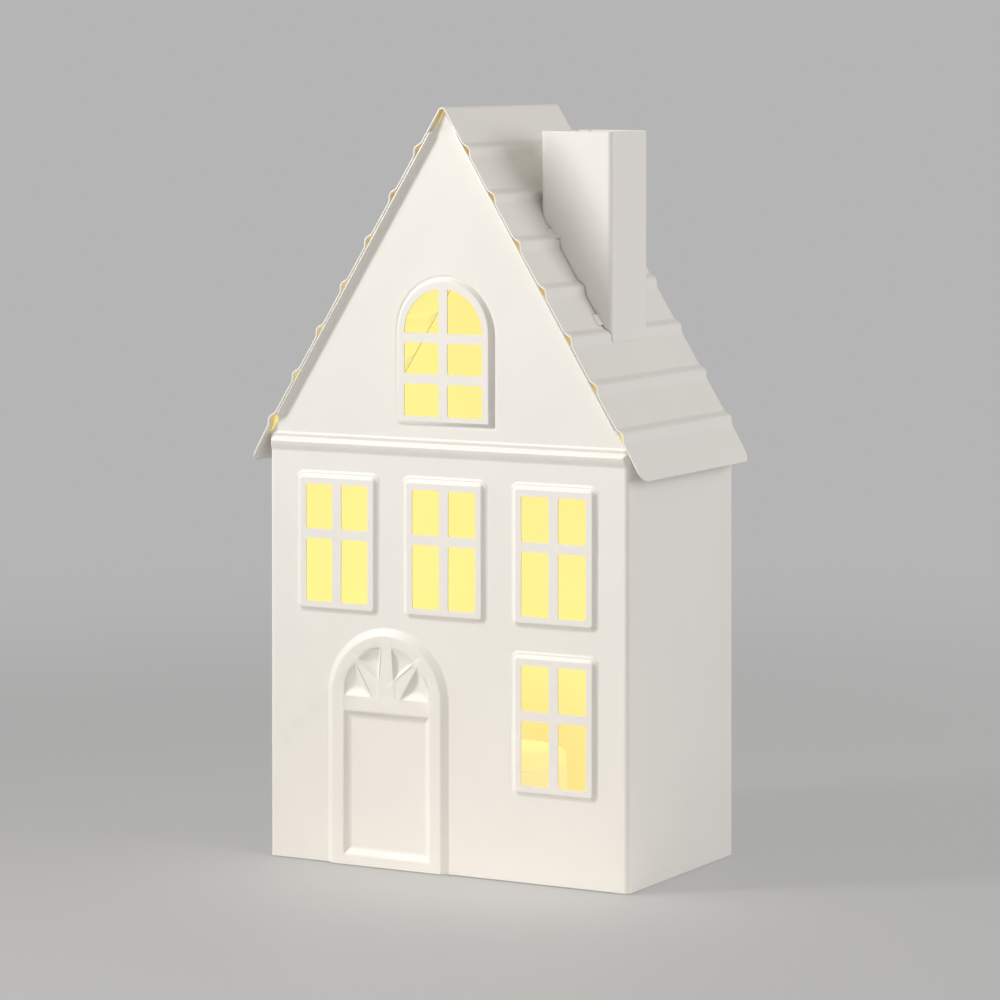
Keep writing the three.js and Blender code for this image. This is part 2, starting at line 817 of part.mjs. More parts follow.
const boardRadius = housingInner - boardEdgeGap;
const capFoot = lampHeight - lampCapHeight;
const coverStop = trayRadius;
const switchFloor = trayFoot + knobRecess + pocketFloor;
const switchUnder = switchFloor + sheetGap;
const contactFoot = cellAxis - contactHeight / 2;

function ears(z0, z1, y) {
  const round = cylinder(earRadius, z0, z1, 0, y, 24);
  return round.add(box([-earRadius, earRadius], [Math.min(0, y), Math.max(0, y)], [z0, z1]));
}

function screwHole(y) {
  return cylinder(lampScrew.shank + screwGap, 0, 2 * floorHeight, 0, y, 16);
}

// A cup, open below and above, with a flange and two ears under the floor plate.
function lampHousing() {
  let cup = ring(housingInner, lampRadius, housingFoot, capFoot - moldGap, 64);
  let flange = cylinder(flangeRadius, housingFoot, housingTopFace, 0, 0, 64);
  for (const side of [-1, 1]) {
    flange = flange.add(ears(housingFoot, housingTopFace, side * earPlace));
  }
  flange = flange.subtract(cylinder(housingInner + lampWall / 2, 0, lampHeight, 0, 0, 64));
  cup = cup.add(flange);
  return cup.subtract(screwHole(earPlace)).subtract(screwHole(-earPlace));
}

// The frosted cap: a rounded top with a spigot that fits into the housing.
function lampCap() {
  const top = lampHeight;
  const spigotOuter = housingInner - moldGap;
  const spigotInner = spigotOuter - capWall;
  const shoulder = arc(lampRadius - lampShoulder, top - lampShoulder, lampShoulder, 0, Math.PI / 2, 5);
  const inside = lampShoulder - capWall;
  const hollow = arc(spigotInner - inside, top - capWall - inside, inside, 0, Math.PI / 2, 4).reverse();
  return turned(
    [
      [0, top],
      ...shoulder.reverse(),
      [lampRadius, capFoot],
      [spigotOuter, capFoot],
      [spigotOuter, capFoot - capSpigot],
      [spigotInner, capFoot - capSpigot],
      ...hollow.reverse(),
      [0, top - capWall],
    ],
    64,
  );
}

// The moulded tray: a trough for two cells, grooves for the cover, a pocket for the switch, two posts.
function batteryTray() {
  const block = cylinder(trayRadius, trayFoot, trayTop, 0, 0, 64);
  let flange = cylinder(flangeRadius, trayFoot, trayTopFace, 0, 0, 64);
  for (const side of [-1, 1]) {
    flange = flange.add(ears(trayFoot, trayTopFace, side * earPlace));
  }
  const long = 2 * flangeRadius;
  const trough = box([-long, long], [-troughHalf, troughHalf], [trayTopFace, troughTop]);
  const mouth = box([-coverStop, long], [-troughHalf, troughHalf], [trayFoot - 1, trayTopFace + 1]);
  const grooveReach = troughHalf + coverTongueReach + moldGap;
  const grooveHeights = [coverTop - coverTongue - moldGap, coverTop + moldGap];
  const groove = box([-coverStop, long], [-grooveReach, grooveReach], grooveHeights);
  let tray = block.add(flange).subtract(trough).subtract(mouth).subtract(groove).subtract(switchPocket());
  for (const side of [-1, 1]) {
    tray = tray.add(boardPost(side)).subtract(boardPilot(side)).subtract(screwHole(side * earPlace));
  }
  for (const [x, y] of tailPlaces()) {
    tray = tray.subtract(tailNotch(x, y, troughTop - 1, trayTop + 1));
  }
  return tray;
}

function boardPost(side) {
  return cylinder(postRadius, trayTop - joinDepth, boardUnder, side * postPlace, 0, 20);
}

function boardPilot(side) {
  const depth = boardScrew.length - boardThickness + pilotSpare;
  return cylinder(boardScrew.shank + screwGap, boardUnder - depth, lampHeight, side * postPlace, 0, 12);
}

// The pocket for the switch, open to the top, with the knob's slot and a finger recess below.
function switchPocket() {
  const [long, wide] = switchSize;
  const half = long / 2 + moldGap;
  const y = -switchPlace;
  const across = [y - wide / 2 - moldGap, y + wide / 2 + moldGap];
  const pocket = box([-half, half], across, [switchFloor, trayTop + 1]);
  const slotHalf = (switchTravel + knobStem[0]) / 2 + moldGap;
  const slotAcross = [y - knobStem[1] / 2 - moldGap, y + knobStem[1] / 2 + moldGap];
  const slot = box([-slotHalf, slotHalf], slotAcross, [trayFoot - 1, switchFloor + 1]);
  const recessHalf = slotHalf + recessMargin;
  const recessAcross = [y - recessWidth / 2, y + recessWidth / 2];
  const recess = box([-recessHalf, recessHalf], recessAcross, [trayFoot - 1, trayFoot + knobRecess]);
  return pocket.add(slot).add(recess);
}

// The flat cover that slides out towards +X, with a tongue along each side and finger grooves below.
function batteryCover() {
  const reach = flangeRadius - moldGap;
  const half = troughHalf - moldGap;
  const tongue = troughHalf + coverTongueReach - moldGap;
  const start = -coverStop + moldGap;
  const plate = box([start, reach], [-half, half], [trayFoot, coverTop]);
  const tongues = box([start, reach], [-tongue, tongue], [coverTop - coverTongue, coverTop]);
  let cover = plate.add(tongues).intersect(cylinder(reach, 0, floorHeight, 0, 0, 64));
  for (let i = 0; i < coverGrip.grooves; i++) {
    const x = reach - coverGrip.fromEnd - i * coverGrip.pitch;
    const across = half - coverGrip.fromSide;
    const cut = [trayFoot - 1, trayFoot + coverGrip.depth];
    cover = cover.subtract(box([x - coverGrip.width, x], [-across, across], cut));
  }
  return cover;
}

// A cell lying along X with its nub towards +X.
function cell() {
  const radius = cellDiameter / 2;
  const body = cellLength / 2 - cellNub;
  const profile = [
    [0, -cellLength / 2],
    [radius - cellEdge, -cellLength / 2],
    [radius, -cellLength / 2 + cellEdge],
    [radius, body - cellEdge],
    [radius - cellEdge, body],
    [cellNubDiameter / 2, body],
    [cellNubDiameter / 2, cellLength / 2],
    [0, cellLength / 2],
  ];
  const points = profile.map(([r, z]) => new THREE.Vector2(r, z));
  return solid(new THREE.LatheGeometry(points, 32).rotateZ(-Math.PI / 2));
}

// Where a contact's tail goes up to the board.
function tailPlaces() {
  return [
    [-1, 0],
    [1, cellOffset],
    [1, -cellOffset],
  ];
}

function tailNotch(side, y, z0, z1) {
  const near = side * (contactFace - moldGap);
  const far = side * (trayRadius + 1);
  const span = [Math.min(near, far), Math.max(near, far)];
  return box(span, [y - tailWidth / 2 - moldGap, y + tailWidth / 2 + moldGap], [z0, z1]);
}

// A bowed leaf that presses on a cell's flat end, and a raised pad for its nub, both as seen in plan.
function leaf(side, y) {
  const reach = leafWidth / 2;
  const path = arc(0, 0, 1, 0, Math.PI, 6).map(([a, b]) => [
    side * (contactFace - leafRise * b),
    y - reach * a,
  ]);
  const back = [
    [side * (contactFace + contactSheet / 2), y + reach],
    [side * (contactFace + contactSheet / 2), y - reach],
  ];
  return alongZ([...path, ...back], cellAxis - leafHeight / 2, cellAxis + leafHeight / 2);
}

function contactPlate(side, [y0, y1], tailY) {
  const span = [side * contactFace, side * (contactFace + contactSheet)].sort((a, b) => a - b);
  const plate = box(span, [y0, y1], [contactFoot, contactFoot + contactHeight]);
  const tail = box(
    span,
    [tailY - tailWidth / 2, tailY + tailWidth / 2],
    [cellAxis, boardTop + tailEnd],
  );
  return plate.add(tail);
}

// Joins the two cells at the -X end.
function contactBridge() {
  const plate = contactPlate(-1, [-contactHalfWidth, contactHalfWidth], 0);
  return plate.add(leaf(-1, cellOffset)).add(leaf(-1, -cellOffset));
}

function contactSingle(half) {
  const span = [half * contactHalfWidth, (half * contactSplit) / 2].sort((a, b) => a - b);
  return contactPlate(1, span, half * cellOffset).add(leaf(1, half * cellOffset));
}

function circuitBoard() {
  let board = cylinder(boardRadius, boardUnder, boardTop, 0, 0, 48);
  for (const side of [-1, 1]) {
    const hole = cylinder(boardScrew.shank + screwGap, 0, lampHeight, side * postPlace, 0, 12);
    board = board.subtract(hole);
  }
  for (const [x, y] of tailPlaces()) {
    board = board.subtract(tailNotch(x, y, boardUnder - 1, boardTop + 1));
  }
  return board;
}

// A round light-emitting diode on its two legs.
function led() {
  const { diameter, height, rim, rimHeight, standOff } = ledSize;
  const foot = boardTop + standOff;
  const radius = diameter / 2;
  const dome = arc(0, foot + height - radius, radius, 0, Math.PI / 2, 6);
  const base = [
    [0, foot],
    [radius + rim, foot],
    [radius + rim, foot + rimHeight],
    [radius, foot + rimHeight],
  ];
  let made = turned([...base, ...dome], 24);
  const half = ledLegs.width / 2;
  for (const side of [-1, 1]) {
    const x = (side * ledLegs.spacing) / 2;
    made = made.add(box([x - half, x + half], [-half, half], [boardTop, foot + joinDepth]));
  }
  return made;
}

// The timer chip: a moulded body on eight legs.
function timerChip() {
  const [long, wide, high] = chipSize;
  const { perSide, pitch: step, width, reach, thickness, standOff } = chipLegs;
  let chip = box([-long / 2, long / 2], [-wide / 2, wide / 2], [standOff, standOff + high]);
  for (let i = 0; i < perSide; i++) {
    const x = (i - (perSide - 1) / 2) * step;
    const across = wide / 2 + reach;
    chip = chip.add(box([x - width / 2, x + width / 2], [-across, across], [0, thickness]));
  }
  return chip;
}

// A resistor lying above the board, its leads bent down to it.
function resistor() {
  const { length, diameter, lift, lead: wireWidth, leadReach } = resistorSize;
  const radius = diameter / 2;
  const height = radius + lift;
  const ends = [[0, -length / 2], [radius, -length / 2], [radius, length / 2], [0, length / 2]];
  const body = new THREE.LatheGeometry(ends.map(([r, z]) => new THREE.Vector2(r, z)), 16);
  const reach = length / 2 + leadReach;
  const top = height + wireWidth / 2;
  const path = [[-reach, 0], [-reach, top], [reach, top], [reach, 0]];
  const wire = alongY(strip(path, -wireWidth), -wireWidth / 2, wireWidth / 2);
  return solid(body.rotateZ(Math.PI / 2).translate(0, 0, height)).add(wire);
}

// The switch's case with a cavity below for the knob's foot.
function switchBody() {
  const [long, wide, high] = switchSize;
  const y = -switchPlace;
  const whole = box([-long / 2, long / 2], [y - wide / 2, y + wide / 2], [switchUnder, switchUnder + high]);
  const half = (switchTravel + knobFoot[0]) / 2 + sheetGap;
  const across = [y - knobFoot[1] / 2 - sheetGap, y + knobFoot[1] / 2 + sheetGap];
  const cavity = [switchUnder - 1, switchUnder + knobFoot[2] + 2 * sheetGap];
  return whole.subtract(box([-half, half], across, cavity));
}

// The knob at the lit end of its travel: a foot inside the switch and a stem through the tray's slot.
function switchKnob() {
  const [long, wide, high] = knobFoot;
  const x = -switchTravel / 2;
  const y = -switchPlace;
  const foot = switchUnder + sheetGap;
  const inside = box([x - long / 2, x + long / 2], [y - wide / 2, y + wide / 2], [foot, foot + high]);
  const stem = box(
    [x - knobStem[0] / 2, x + knobStem[0] / 2],
    [y - knobStem[1] / 2, y + knobStem[1] / 2],
    [trayFoot + knobSink, foot + joinDepth],
  );
  return inside.add(stem);
}

// A wire from the switch up to the board, with a slight bow.
function switchLead(side) {
  const x = (side * lead.spacing) / 2;
  const y = -switchPlace;
  const from = switchUnder + switchSize[2];
  const path = new THREE.CatmullRomCurve3([
    new THREE.Vector3(x, y, from),
    new THREE.Vector3(x + side * lead.bow, y, (from + boardUnder) / 2),
    new THREE.Vector3(x, y, boardUnder),
  ]);
  const sides = 8;
  const section = shapeOf(arc(0, 0, lead.diameter / 2, 0, 2 * Math.PI * (1 - 1 / sides), sides - 1));
  const wire = solid(new THREE.ExtrudeGeometry(section, { steps: 8, extrudePath: path }));
  const around = [x - lead.spacing / 2, x + lead.spacing / 2];
  const clear = [y - lead.spacing, y + lead.spacing];
  return wire.intersect(box(around, clear, [from + lead.gap, boardUnder - lead.gap]));
}

// A pan-head screw with its head above the origin and a cross recess.
function screw({ shank, head, headHeight, length, point }) {
  const profile = [
    [0, -length],
    [shank * 0.4, -length],
    [shank, -length + point],
    [shank, 0],
    [head, 0],
    [head, headHeight * 0.5],
    [head * 0.8, headHeight * 0.9],
    [head * 0.4, headHeight],
    [0, headHeight],
  ];
  const arm = head * 0.55;
  const slot = head * 0.12;
  const cut = [headHeight * 0.45, headHeight + 1];
  return turned(profile, 16)
    .subtract(box([-arm, arm], [-slot, slot], cut))
    .subtract(box([-slot, slot], [-arm, arm], cut));
}

// Materials, as they look in plain daylight

const paint = new THREE.MeshStandardMaterial({ color: 0xece9e3, roughness: 0.45, metalness: 0 });
const whitePlastic = new THREE.MeshStandardMaterial({ color: 0xf2f0ea, roughness: 0.5 });
const frosted = new THREE.MeshStandardMaterial({ color: 0xfff3c9, roughness: 0.6, emissive: 0xffd24a });
const cellJacket = new THREE.MeshStandardMaterial({ color: 0x3a3d42, roughness: 0.35 });
const springSteel = new THREE.MeshStandardMaterial({ color: 0xc9c9c6, roughness: 0.3, metalness: 1 });
const boardGreen = new THREE.MeshStandardMaterial({ color: 0x2f6b45, roughness: 0.6 });
const clearLed = new THREE.MeshStandardMaterial({ color: 0xfff0c0, roughness: 0.2, emissive: 0xffc040 });
const blackPlastic = new THREE.MeshStandardMaterial({ color: 0x1d1d1f, roughness: 0.5 });
const resistorTan = new THREE.MeshStandardMaterial({ color: 0xcdb58a, roughness: 0.6 });
const redWire = new THREE.MeshStandardMaterial({ color: 0xb3261e, roughness: 0.5 });
const blackWire = new THREE.MeshStandardMaterial({ color: 0x202022, roughness: 0.5 });
const zinc = new THREE.MeshStandardMaterial({ color: 0xb9bbbd, roughness: 0.35, metalness: 1 });

const house = new THREE.Group();
const lightUnit = new THREE.Group();
lightUnit.position.y = lampY;
house.add(lightUnit);

function place(parent, name, piece, material) {
  const mesh = new THREE.Mesh(geometryOf(piece), material);
  mesh.name = name;
  parent.add(mesh);
  return mesh;
}

place(house, "wall_shell", wallShell(), paint);
place(house, "back_panel", backPanel(), paint);
place(house, "roof_sheet", roofSheet(), paint);
place(house, "chimney", chimney(), paint);
place(house, "floor_plate", floorPlate(), paint);

place(lightUnit, "lamp_housing", lampHousing(), whitePlastic);
place(lightUnit, "lamp_cap", lampCap(), frosted);
place(lightUnit, "battery_tray", batteryTray(), whitePlastic);
place(lightUnit, "battery_cover", batteryCover(), whitePlastic);
place(lightUnit, "contact_bridge", contactBridge(), springSteel);
place(lightUnit, "contact_positive", contactSingle(1), springSteel);
place(lightUnit, "contact_negative", contactSingle(-1), springSteel);
place(lightUnit, "circuit_board", circuitBoard(), boardGreen);
place(lightUnit, "led", led(), clearLed);
place(lightUnit, "timer_chip", timerChip(), blackPlastic).position.set(0, chipPlace, boardTop);
place(lightUnit, "resistor", resistor(), resistorTan).position.set(0, -resistorPlace, boardTop);
place(lightUnit, "switch_body", switchBody(), blackPlastic);
place(lightUnit, "switch_knob", switchKnob(), blackPlastic);
place(lightUnit, "switch_lead_red", switchLead(1), redWire);
place(lightUnit, "switch_lead_black", switchLead(-1), blackWire);

for (const side of [-1, 1]) {
  const number = side < 0 ? 1 : 2;
  const battery = place(lightUnit, "battery_cell_" + number, cell(), cellJacket);
  battery.position.set(0, side * cellOffset, cellAxis);
  battery.rotation.z = side < 0 ? Math.PI : 0;

  const lampFixing = place(lightUnit, "lamp_screw_" + number, screw(lampScrew), zinc);
  lampFixing.position.set(0, side * earPlace, trayFoot - screwGap);
  lampFixing.rotation.x = Math.PI;

  const boardFixing = place(lightUnit, "board_screw_" + number, screw(boardScrew), zinc);
  boardFixing.position.set(side * postPlace, 0, boardTop + screwGap);
}

export default house;
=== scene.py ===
"""A lit house of thin painted sheet metal, dressed for the picture: bent and pressed sheets with their real
thickness, a powder coat outside, warm light inside, and a battery light unit under the floor plate."""

import math

import bpy
import numpy as np
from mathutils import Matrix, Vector, geometry


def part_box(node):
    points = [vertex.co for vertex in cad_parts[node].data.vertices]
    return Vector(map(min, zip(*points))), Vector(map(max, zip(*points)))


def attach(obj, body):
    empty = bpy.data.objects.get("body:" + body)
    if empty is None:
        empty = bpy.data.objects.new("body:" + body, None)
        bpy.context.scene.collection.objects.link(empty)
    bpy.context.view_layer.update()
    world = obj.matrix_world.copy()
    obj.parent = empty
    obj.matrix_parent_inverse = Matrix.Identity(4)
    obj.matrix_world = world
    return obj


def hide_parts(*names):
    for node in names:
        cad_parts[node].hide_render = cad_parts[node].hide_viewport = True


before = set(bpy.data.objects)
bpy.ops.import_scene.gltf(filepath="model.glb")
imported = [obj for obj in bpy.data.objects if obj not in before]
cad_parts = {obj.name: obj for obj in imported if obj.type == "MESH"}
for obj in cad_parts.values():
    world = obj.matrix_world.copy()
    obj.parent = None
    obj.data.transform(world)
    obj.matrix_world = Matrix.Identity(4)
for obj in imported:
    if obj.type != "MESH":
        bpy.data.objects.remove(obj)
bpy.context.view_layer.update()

MM = 0.001

# House, in millimetres, with the values of the CAD
HALF_WIDTH = 82.0
FRONT_FACE = -45.15
BACK_FACE = 47.85
RIDGE_HEIGHT = 305.0
SHOULDER_HEIGHT = 174.4
EAVE_LENGTH = 15.5
EAVE_TUCK = 0.65
EAVE_CORNER = 4.5
EAVE_CURVE = 1.6
RIDGE_RADIUS = 1.8
SHEET = 0.6
SHEET_GAP = 0.3
BEND = 2.2
EDGE_BULGE = 0.1
BACK_PANEL_FACE = BACK_FACE - SHEET - SHEET_GAP
BACK_PANEL_HALF = HALF_WIDTH - BEND - SHEET_GAP
RETURN_WIDTH = 9.0

# Ribs across the roof
FIRST_RIB = 21.7
RIB_PITCH = 21.6
RIB_HEIGHT = 1.4
RIB_HALF = 3.9
RIB_COUNT = 7

# Folded edges
FLANGE_TOP = 8.5
FLANGE_FROM_WALL = 5.0
FLANGE_BLEND = 3.0
FLANGE_TAPER = 5.0
GABLE_DROP = 1.9
FRONT_FLANGE = 2.5
BACK_FLANGE = 2.2
LIP_BEND = 2.0
WALL_TOP_FLANGE = 7.5

# Pressings. A rounding says how far the foot and the top edge of a pressed side are rounded, as shares of
# the side's run. A ledge, groove or ditch has its share of the pressing's height, and its run.
SOFT_ROUND = (0.42, 0.12)
EVEN_ROUND = (0.3, 0.3)
SLOPE_ROUND = (0.2, 0.2)

# Windows: the centre line and the sill of each, and their panes
WINDOW_SILLS = [(-49.5, 102.9), (0.0, 102.9), (49.5, 102.9), (49.5, 36.5)]
WINDOW_SIZE = (34.0, 52.4)
WINDOW_PRESS = 1.4
WINDOW_SIDE = 2.7
PLAIN_SIDE = 1.8
WINDOW_LEDGE = (0.3, 0.9)
WINDOW_GROOVE = (0.12, 0.5)
LEDGE_ROUND = (0.45, 0.25)
MOULDING_FADE = (-1.5, 0.5)
WINDOW_LINES_BEFORE = 0.4
PANE_WIDTH = 12.4
MULLION = 4.1
PANE_ROWS = [(2.3, 27.8), (31.6, 49.7)]
PANE_CORNER = 1.1

# Arched window in the gable
ARCH_SILL = 179.9
ARCH_HALF = 20.6
ARCH_SPRING = 215.4
ARCH_PRESS = 1.8
ARCH_SIDE = 2.5
ARCH_DITCH = (0.26, 1.1)
DITCH_ROUND = (0.3, 0.2)
ARCH_LINES_BEFORE = 0.35
ARCH_PANE = (1.95, 17.85)
ARCH_ROWS = [(181.9, 194.9), (198.7, 211.3)]
ARCH_TOP_PANE = 215.1

# Door: its outline goes on below the ground, so that it has sides and no foot
DOOR_CENTRE = -26.3
DOOR_HALF = 25.0
DOOR_SPRING = 68.2
DOOR_BELOW = -50.0
DOOR_PRESS = 1.8
DOOR_SIDE = 3.0
DOOR_ROUND = (0.16, 0.12)
PANEL_HALF = 19.9
PANEL_HEIGHTS = (4.5, 62.3)
PANEL_SIDE = 2.5
PANEL_DEPTH = 1.7
PANEL_ROUND = (0.3, 0.4)

# Bead between the storeys and the gable
BEAD_HEIGHTS = (165.2, 173.0)
BEAD_PRESS = 1.8
BEAD_FOOT = 0.3
BEAD_UNDER = 3.4
UNDER_ROUND = (0.15, 0.6)
BEAD_OVER = 1.4
OVER_ROUND = (0.25, 0.6)
BEAD_LEDGE = (0.36, 0.65)
BEAD_GROOVE = (0.22, 1.6)
BEAD_STEP = 2.1
BEAD_INSET = 0.4
BEAD_ENDS = 1.8
BEAD_LINES_UNDER = 1.1
BEAD_LINES_OVER = 0.4

# Fanlight: each petal is pressed in, with a side of its own run along each of its edges.
# Points are measured from the door's centre line and the fanlight's foot, for the right-hand half.
FANLIGHT_FOOT = 68.0
PETAL_DEPTH = 1.9
PETAL_BLEND = 0.12
PETAL_ROUND = (0.12, 0.3)
FANLIGHT_REACH = 21.0
FANLIGHT_RISE = 22.0
PETALS = [
    ([(6.3, 0.0), (19.6, 0.0), (19.6, 5.0), (17.0, 11.0), (14.2, 13.4)], [4.6, 1.8, 4.5, 4.0, 3.2]),
    ([(3.4, 7.2), (13.2, 15.4), (9.0, 19.4), (2.3, 20.8)], [2.0, 5.0, 5.0, 1.9]),
]

# Edges of the wall sheet: its foot, the gable's tip, and the fold along the top of a side wall, whose ends
# step down at these distances from the front bend and from the back bend
FOOT_LIFT = 0.5
TIP_RISE = 0.8
TIP_LENGTH = 12.0
TOP_FOLD_FRONT = (4.6, 3.2, 2.2)
TOP_FOLD_BACK = (7.0, 8.2, 9.6)
TOP_FOLD_CORNER = 1.5
TOP_FOLD_INSET = 1.0
LIP_FULLNESS = 0.25

# Chimney
CHIMNEY_X = (27.0, 59.3)
CHIMNEY_Y = (-15.3, 16.05)
CHIMNEY_BEND = 2.2
CHIMNEY_LAP = 6.0
CHIMNEY_SEAM = 1.6
CHIMNEY_RISE = 32.2
CHIMNEY_BELOW = 150.0
FOOT_SPACING = 0.45
TAB_INSET = 5.8
TAB_HALF = 2.4
TAB_REACH = 4.0
TAB_THROUGH = 2.5
TAB_BEND = 0.5
TAB_INNER_TURN = 0.4
TAB_CORNER = 1.2
TAB_CORNER_CUT = 0.35
TAB_NOTCH = 0.15
NOTCH_RISE = 0.1
SLOT_HALF = (2.75, 0.5)
SLOT_FLAT = 0.03
RIM_RISE = 0.35
RIM_START = 0.15
RIM_WIDTH = 0.75

# Waves that a thin flat sheet keeps after it is pressed and folded. They die out towards a foot, a slope,
# a bend and an eave, and the back and the roof have another part of the same pattern.
WAVE_HEIGHT = 0.11
WAVE_LENGTH = 58.0
CALM_FOOT = 25.0
CALM_SLOPE = (4.0, 20.0)
CALM_BEND = 14.0
CALM_EAVE = (150.0, 165.0)
BACK_WAVES_AT = 20.0
ROOF_WAVES_AT = 31.0
ROOF_WAVE_SHARE = 0.35
ROOF_CALM = (6.0, 30.0)

# How closely the flat patterns are filled with points, and how far the filling reaches
SPECKS = 7.0
WALL_SPECKS = 6.5
FANLIGHT_SPECKS = 0.4
CHIMNEY_SPECKS = 5.0
SPECK_MARGIN = 4.0
GABLE_SPECKS_INSET = 2.0
BACK_SPECKS_REACH = 79.0
ROOF_SPECKS_REACH = 47.0
CHIMNEY_SPECKS_FROM = 200.0

# How many lines follow a bend, a fold or a pressing, and how many points a line has over the bead, down
# the roof and across a tab
BEND_STEPS = 7
FOLD_STEPS = 6
TOP_FOLD_STEPS = 4
RUN_OUT_STEPS = 5
MOULDING_LINES = 20
BEAD_LINES = 38
BEAD_STOPS = 43
RIDGE_LINES = 13
RIB_STEPS = 8
EAVE_LINES = 7
ROOF_ROWS = 15
CHIMNEY_BEND_STEPS = 6
TAB_OUT_STEPS = 4
TAB_DOWN_STEPS = 5
TAB_STOPS = 9

# How far the lines of a moulding go on past its run, how far apart the lines at an eave are, and the least
# radius that a corner is drawn with
MOULDING_PAST = 0.3
EAVE_LINE_SPACING = 2.0
LEAST_CORNER = 0.02

# How many rounds close in on the pitch, and on the chimney's foot
PITCH_ROUNDS = 12
FOOT_ROUNDS = 44


def slope_and_peak():
    """The pitch, and the height at which the two slopes would meet above the rounded ridge."""
    peak = RIDGE_HEIGHT
    for _ in range(PITCH_ROUNDS):
        angle = math.atan2(peak - SHOULDER_HEIGHT, HALF_WIDTH)
        peak = RIDGE_HEIGHT + RIDGE_RADIUS * (1 / math.cos(angle) - 1)
    return angle, peak


PITCH, PEAK = slope_and_peak()
COS, SIN, TAN = math.cos(PITCH), math.sin(PITCH), math.tan(PITCH)
SLOPE_TO_WALL = HALF_WIDTH / COS
SLOPE_LENGTH = SLOPE_TO_WALL + EAVE_LENGTH
FLANGE_FOOT = SLOPE_TO_WALL - FLANGE_FROM_WALL
CHIMNEY_TOP = PEAK - CHIMNEY_X[0] * TAN + CHIMNEY_RISE
TAB_PLACES = [(CHIMNEY_X[0] + TAB_INSET) / COS, (CHIMNEY_X[1] - TAB_INSET) / COS]


def on_slope(x, z):
    """Distance down the slope and out of the roof's face, for a point seen from the front."""
    return np.abs(x) * COS + (PEAK - z) * SIN, np.abs(x) * SIN - (PEAK - z) * COS


def from_slope(side, along, out):
    """The other way round: where a point lies, seen from the front, on the slope of side -1 or 1."""
    return side * (along * COS + out * SIN), PEAK - along * SIN + out * COS


def rib_rise(along):
    """How far the roof's face stands out of its slope: round ribs, and an eave that tucks in a little."""
    rise = np.zeros_like(along)
    for i in range(RIB_COUNT):
        offset = np.clip((along - FIRST_RIB - i * RIB_PITCH) / RIB_HALF, -1, 1)
        rise += RIB_HEIGHT * 0.5 * (1 + np.cos(np.pi * offset))
    start = FIRST_RIB + (RIB_COUNT - 1) * RIB_PITCH + RIB_HALF
    return rise - EAVE_TUCK * np.clip((along - start) / (SLOPE_LENGTH - start), 0, 1) ** EAVE_CURVE


def side_profile(distance, run, rounding=SOFT_ROUND):
    """Height share of a pressed side, from 0 at its outer edge to 1 where it meets the flat."""
    foot, top = rounding
    t = np.asarray(distance) / run
    low = (np.clip(t, -foot, foot) + foot) ** 2 / (4 * foot)
    middle = np.clip(t, foot, 1 - top) - foot
    high = top - (top - np.clip(t - 1, -top, top)) ** 2 / (4 * top)
    high = np.where(t > 1 - top, high, 0.0)
    return np.clip(np.where(t < foot, low, foot + middle + high), 0, 1)


def window_side(distance, above):
    """Pressed side of a window. Along its top it has a soft ledge and a groove before the slope to the flat;
    above is the share of that moulding, 1 over the window and 0 beside it."""
    ledge, ledge_run = WINDOW_LEDGE
    groove, groove_run = WINDOW_GROOVE
    step = ledge_run + groove_run / 2
    moulded = ledge * side_profile(distance, ledge_run, LEDGE_ROUND)
    moulded -= groove * side_profile(distance - ledge_run, groove_run, EVEN_ROUND)
    moulded += (1 - ledge + groove) * side_profile(distance - step, WINDOW_SIDE - step, SLOPE_ROUND)
    plain = side_profile(distance - WINDOW_SIDE + PLAIN_SIDE, PLAIN_SIDE)
    return plain + above * (moulded - plain)


def arch_side(distance):
    """Pressed side of the arched window: a narrow ditch round it, and the slope up out of it."""
    ditch, run = ARCH_DITCH
    share = -ditch * side_profile(distance, run, DITCH_ROUND)
    return share + (1 + ditch) * side_profile(distance - run, ARCH_SIDE - run, SLOPE_ROUND)


def smooth(value, low, high):
    """A soft step from 0 to 1 as the value goes from low to high."""
    t = np.clip((value - low) / (high - low), 0, 1)
    return t * t * (3 - 2 * t)


def inside_rectangle(x, z, centre, half, corner):
    """Distance in from the edge of a rectangle with round corners."""
    qx = np.abs(x - centre[0]) - (half[0] - corner)
    qz = np.abs(z - centre[1]) - (half[1] - corner)
    outside = np.hypot(np.maximum(qx, 0), np.maximum(qz, 0))
    return corner - outside - np.minimum(np.maximum(qx, qz), 0)


def inside_arch(x, z, centre, half, bottom, spring):
    """Distance in from the edge of an opening with straight sides and a half-round top."""
    side = half - np.where(z < spring, np.abs(x - centre), np.hypot(x - centre, z - spring))
    return np.minimum(side, z - bottom)


def petal_sides(polygon):
    """For each edge of a petal, its first point and the direction in from it."""
    for i, (px, pz) in enumerate(polygon):
        qx, qz = polygon[(i + 1) % len(polygon)]
        length = math.hypot(qx - px, qz - pz)
        yield (px, pz), (-(qz - pz) / length, (qx - px) / length)


def petal_depth(x, z):
    """How deep the fanlight's petals are pressed in: the least of each petal's sides, softly blended."""
    across = np.abs(x - DOOR_CENTRE)
    up = z - FANLIGHT_FOOT
    depth = np.zeros_like(across)
    for polygon, runs in PETALS:
        total = np.exp(-np.ones_like(across) / PETAL_BLEND)
        for ((px, pz), (nx, nz)), run in zip(petal_sides(polygon), runs):
            distance = (across - px) * nx + (up - pz) * nz
            total += np.exp(-side_profile(distance, run, PETAL_ROUND) / PETAL_BLEND)
        least = -PETAL_BLEND * np.log(total)
        depth += PETAL_DEPTH * np.clip((least + PETAL_BLEND * math.log(2)) / (1 - PETAL_BLEND), 0, 1)
    return depth


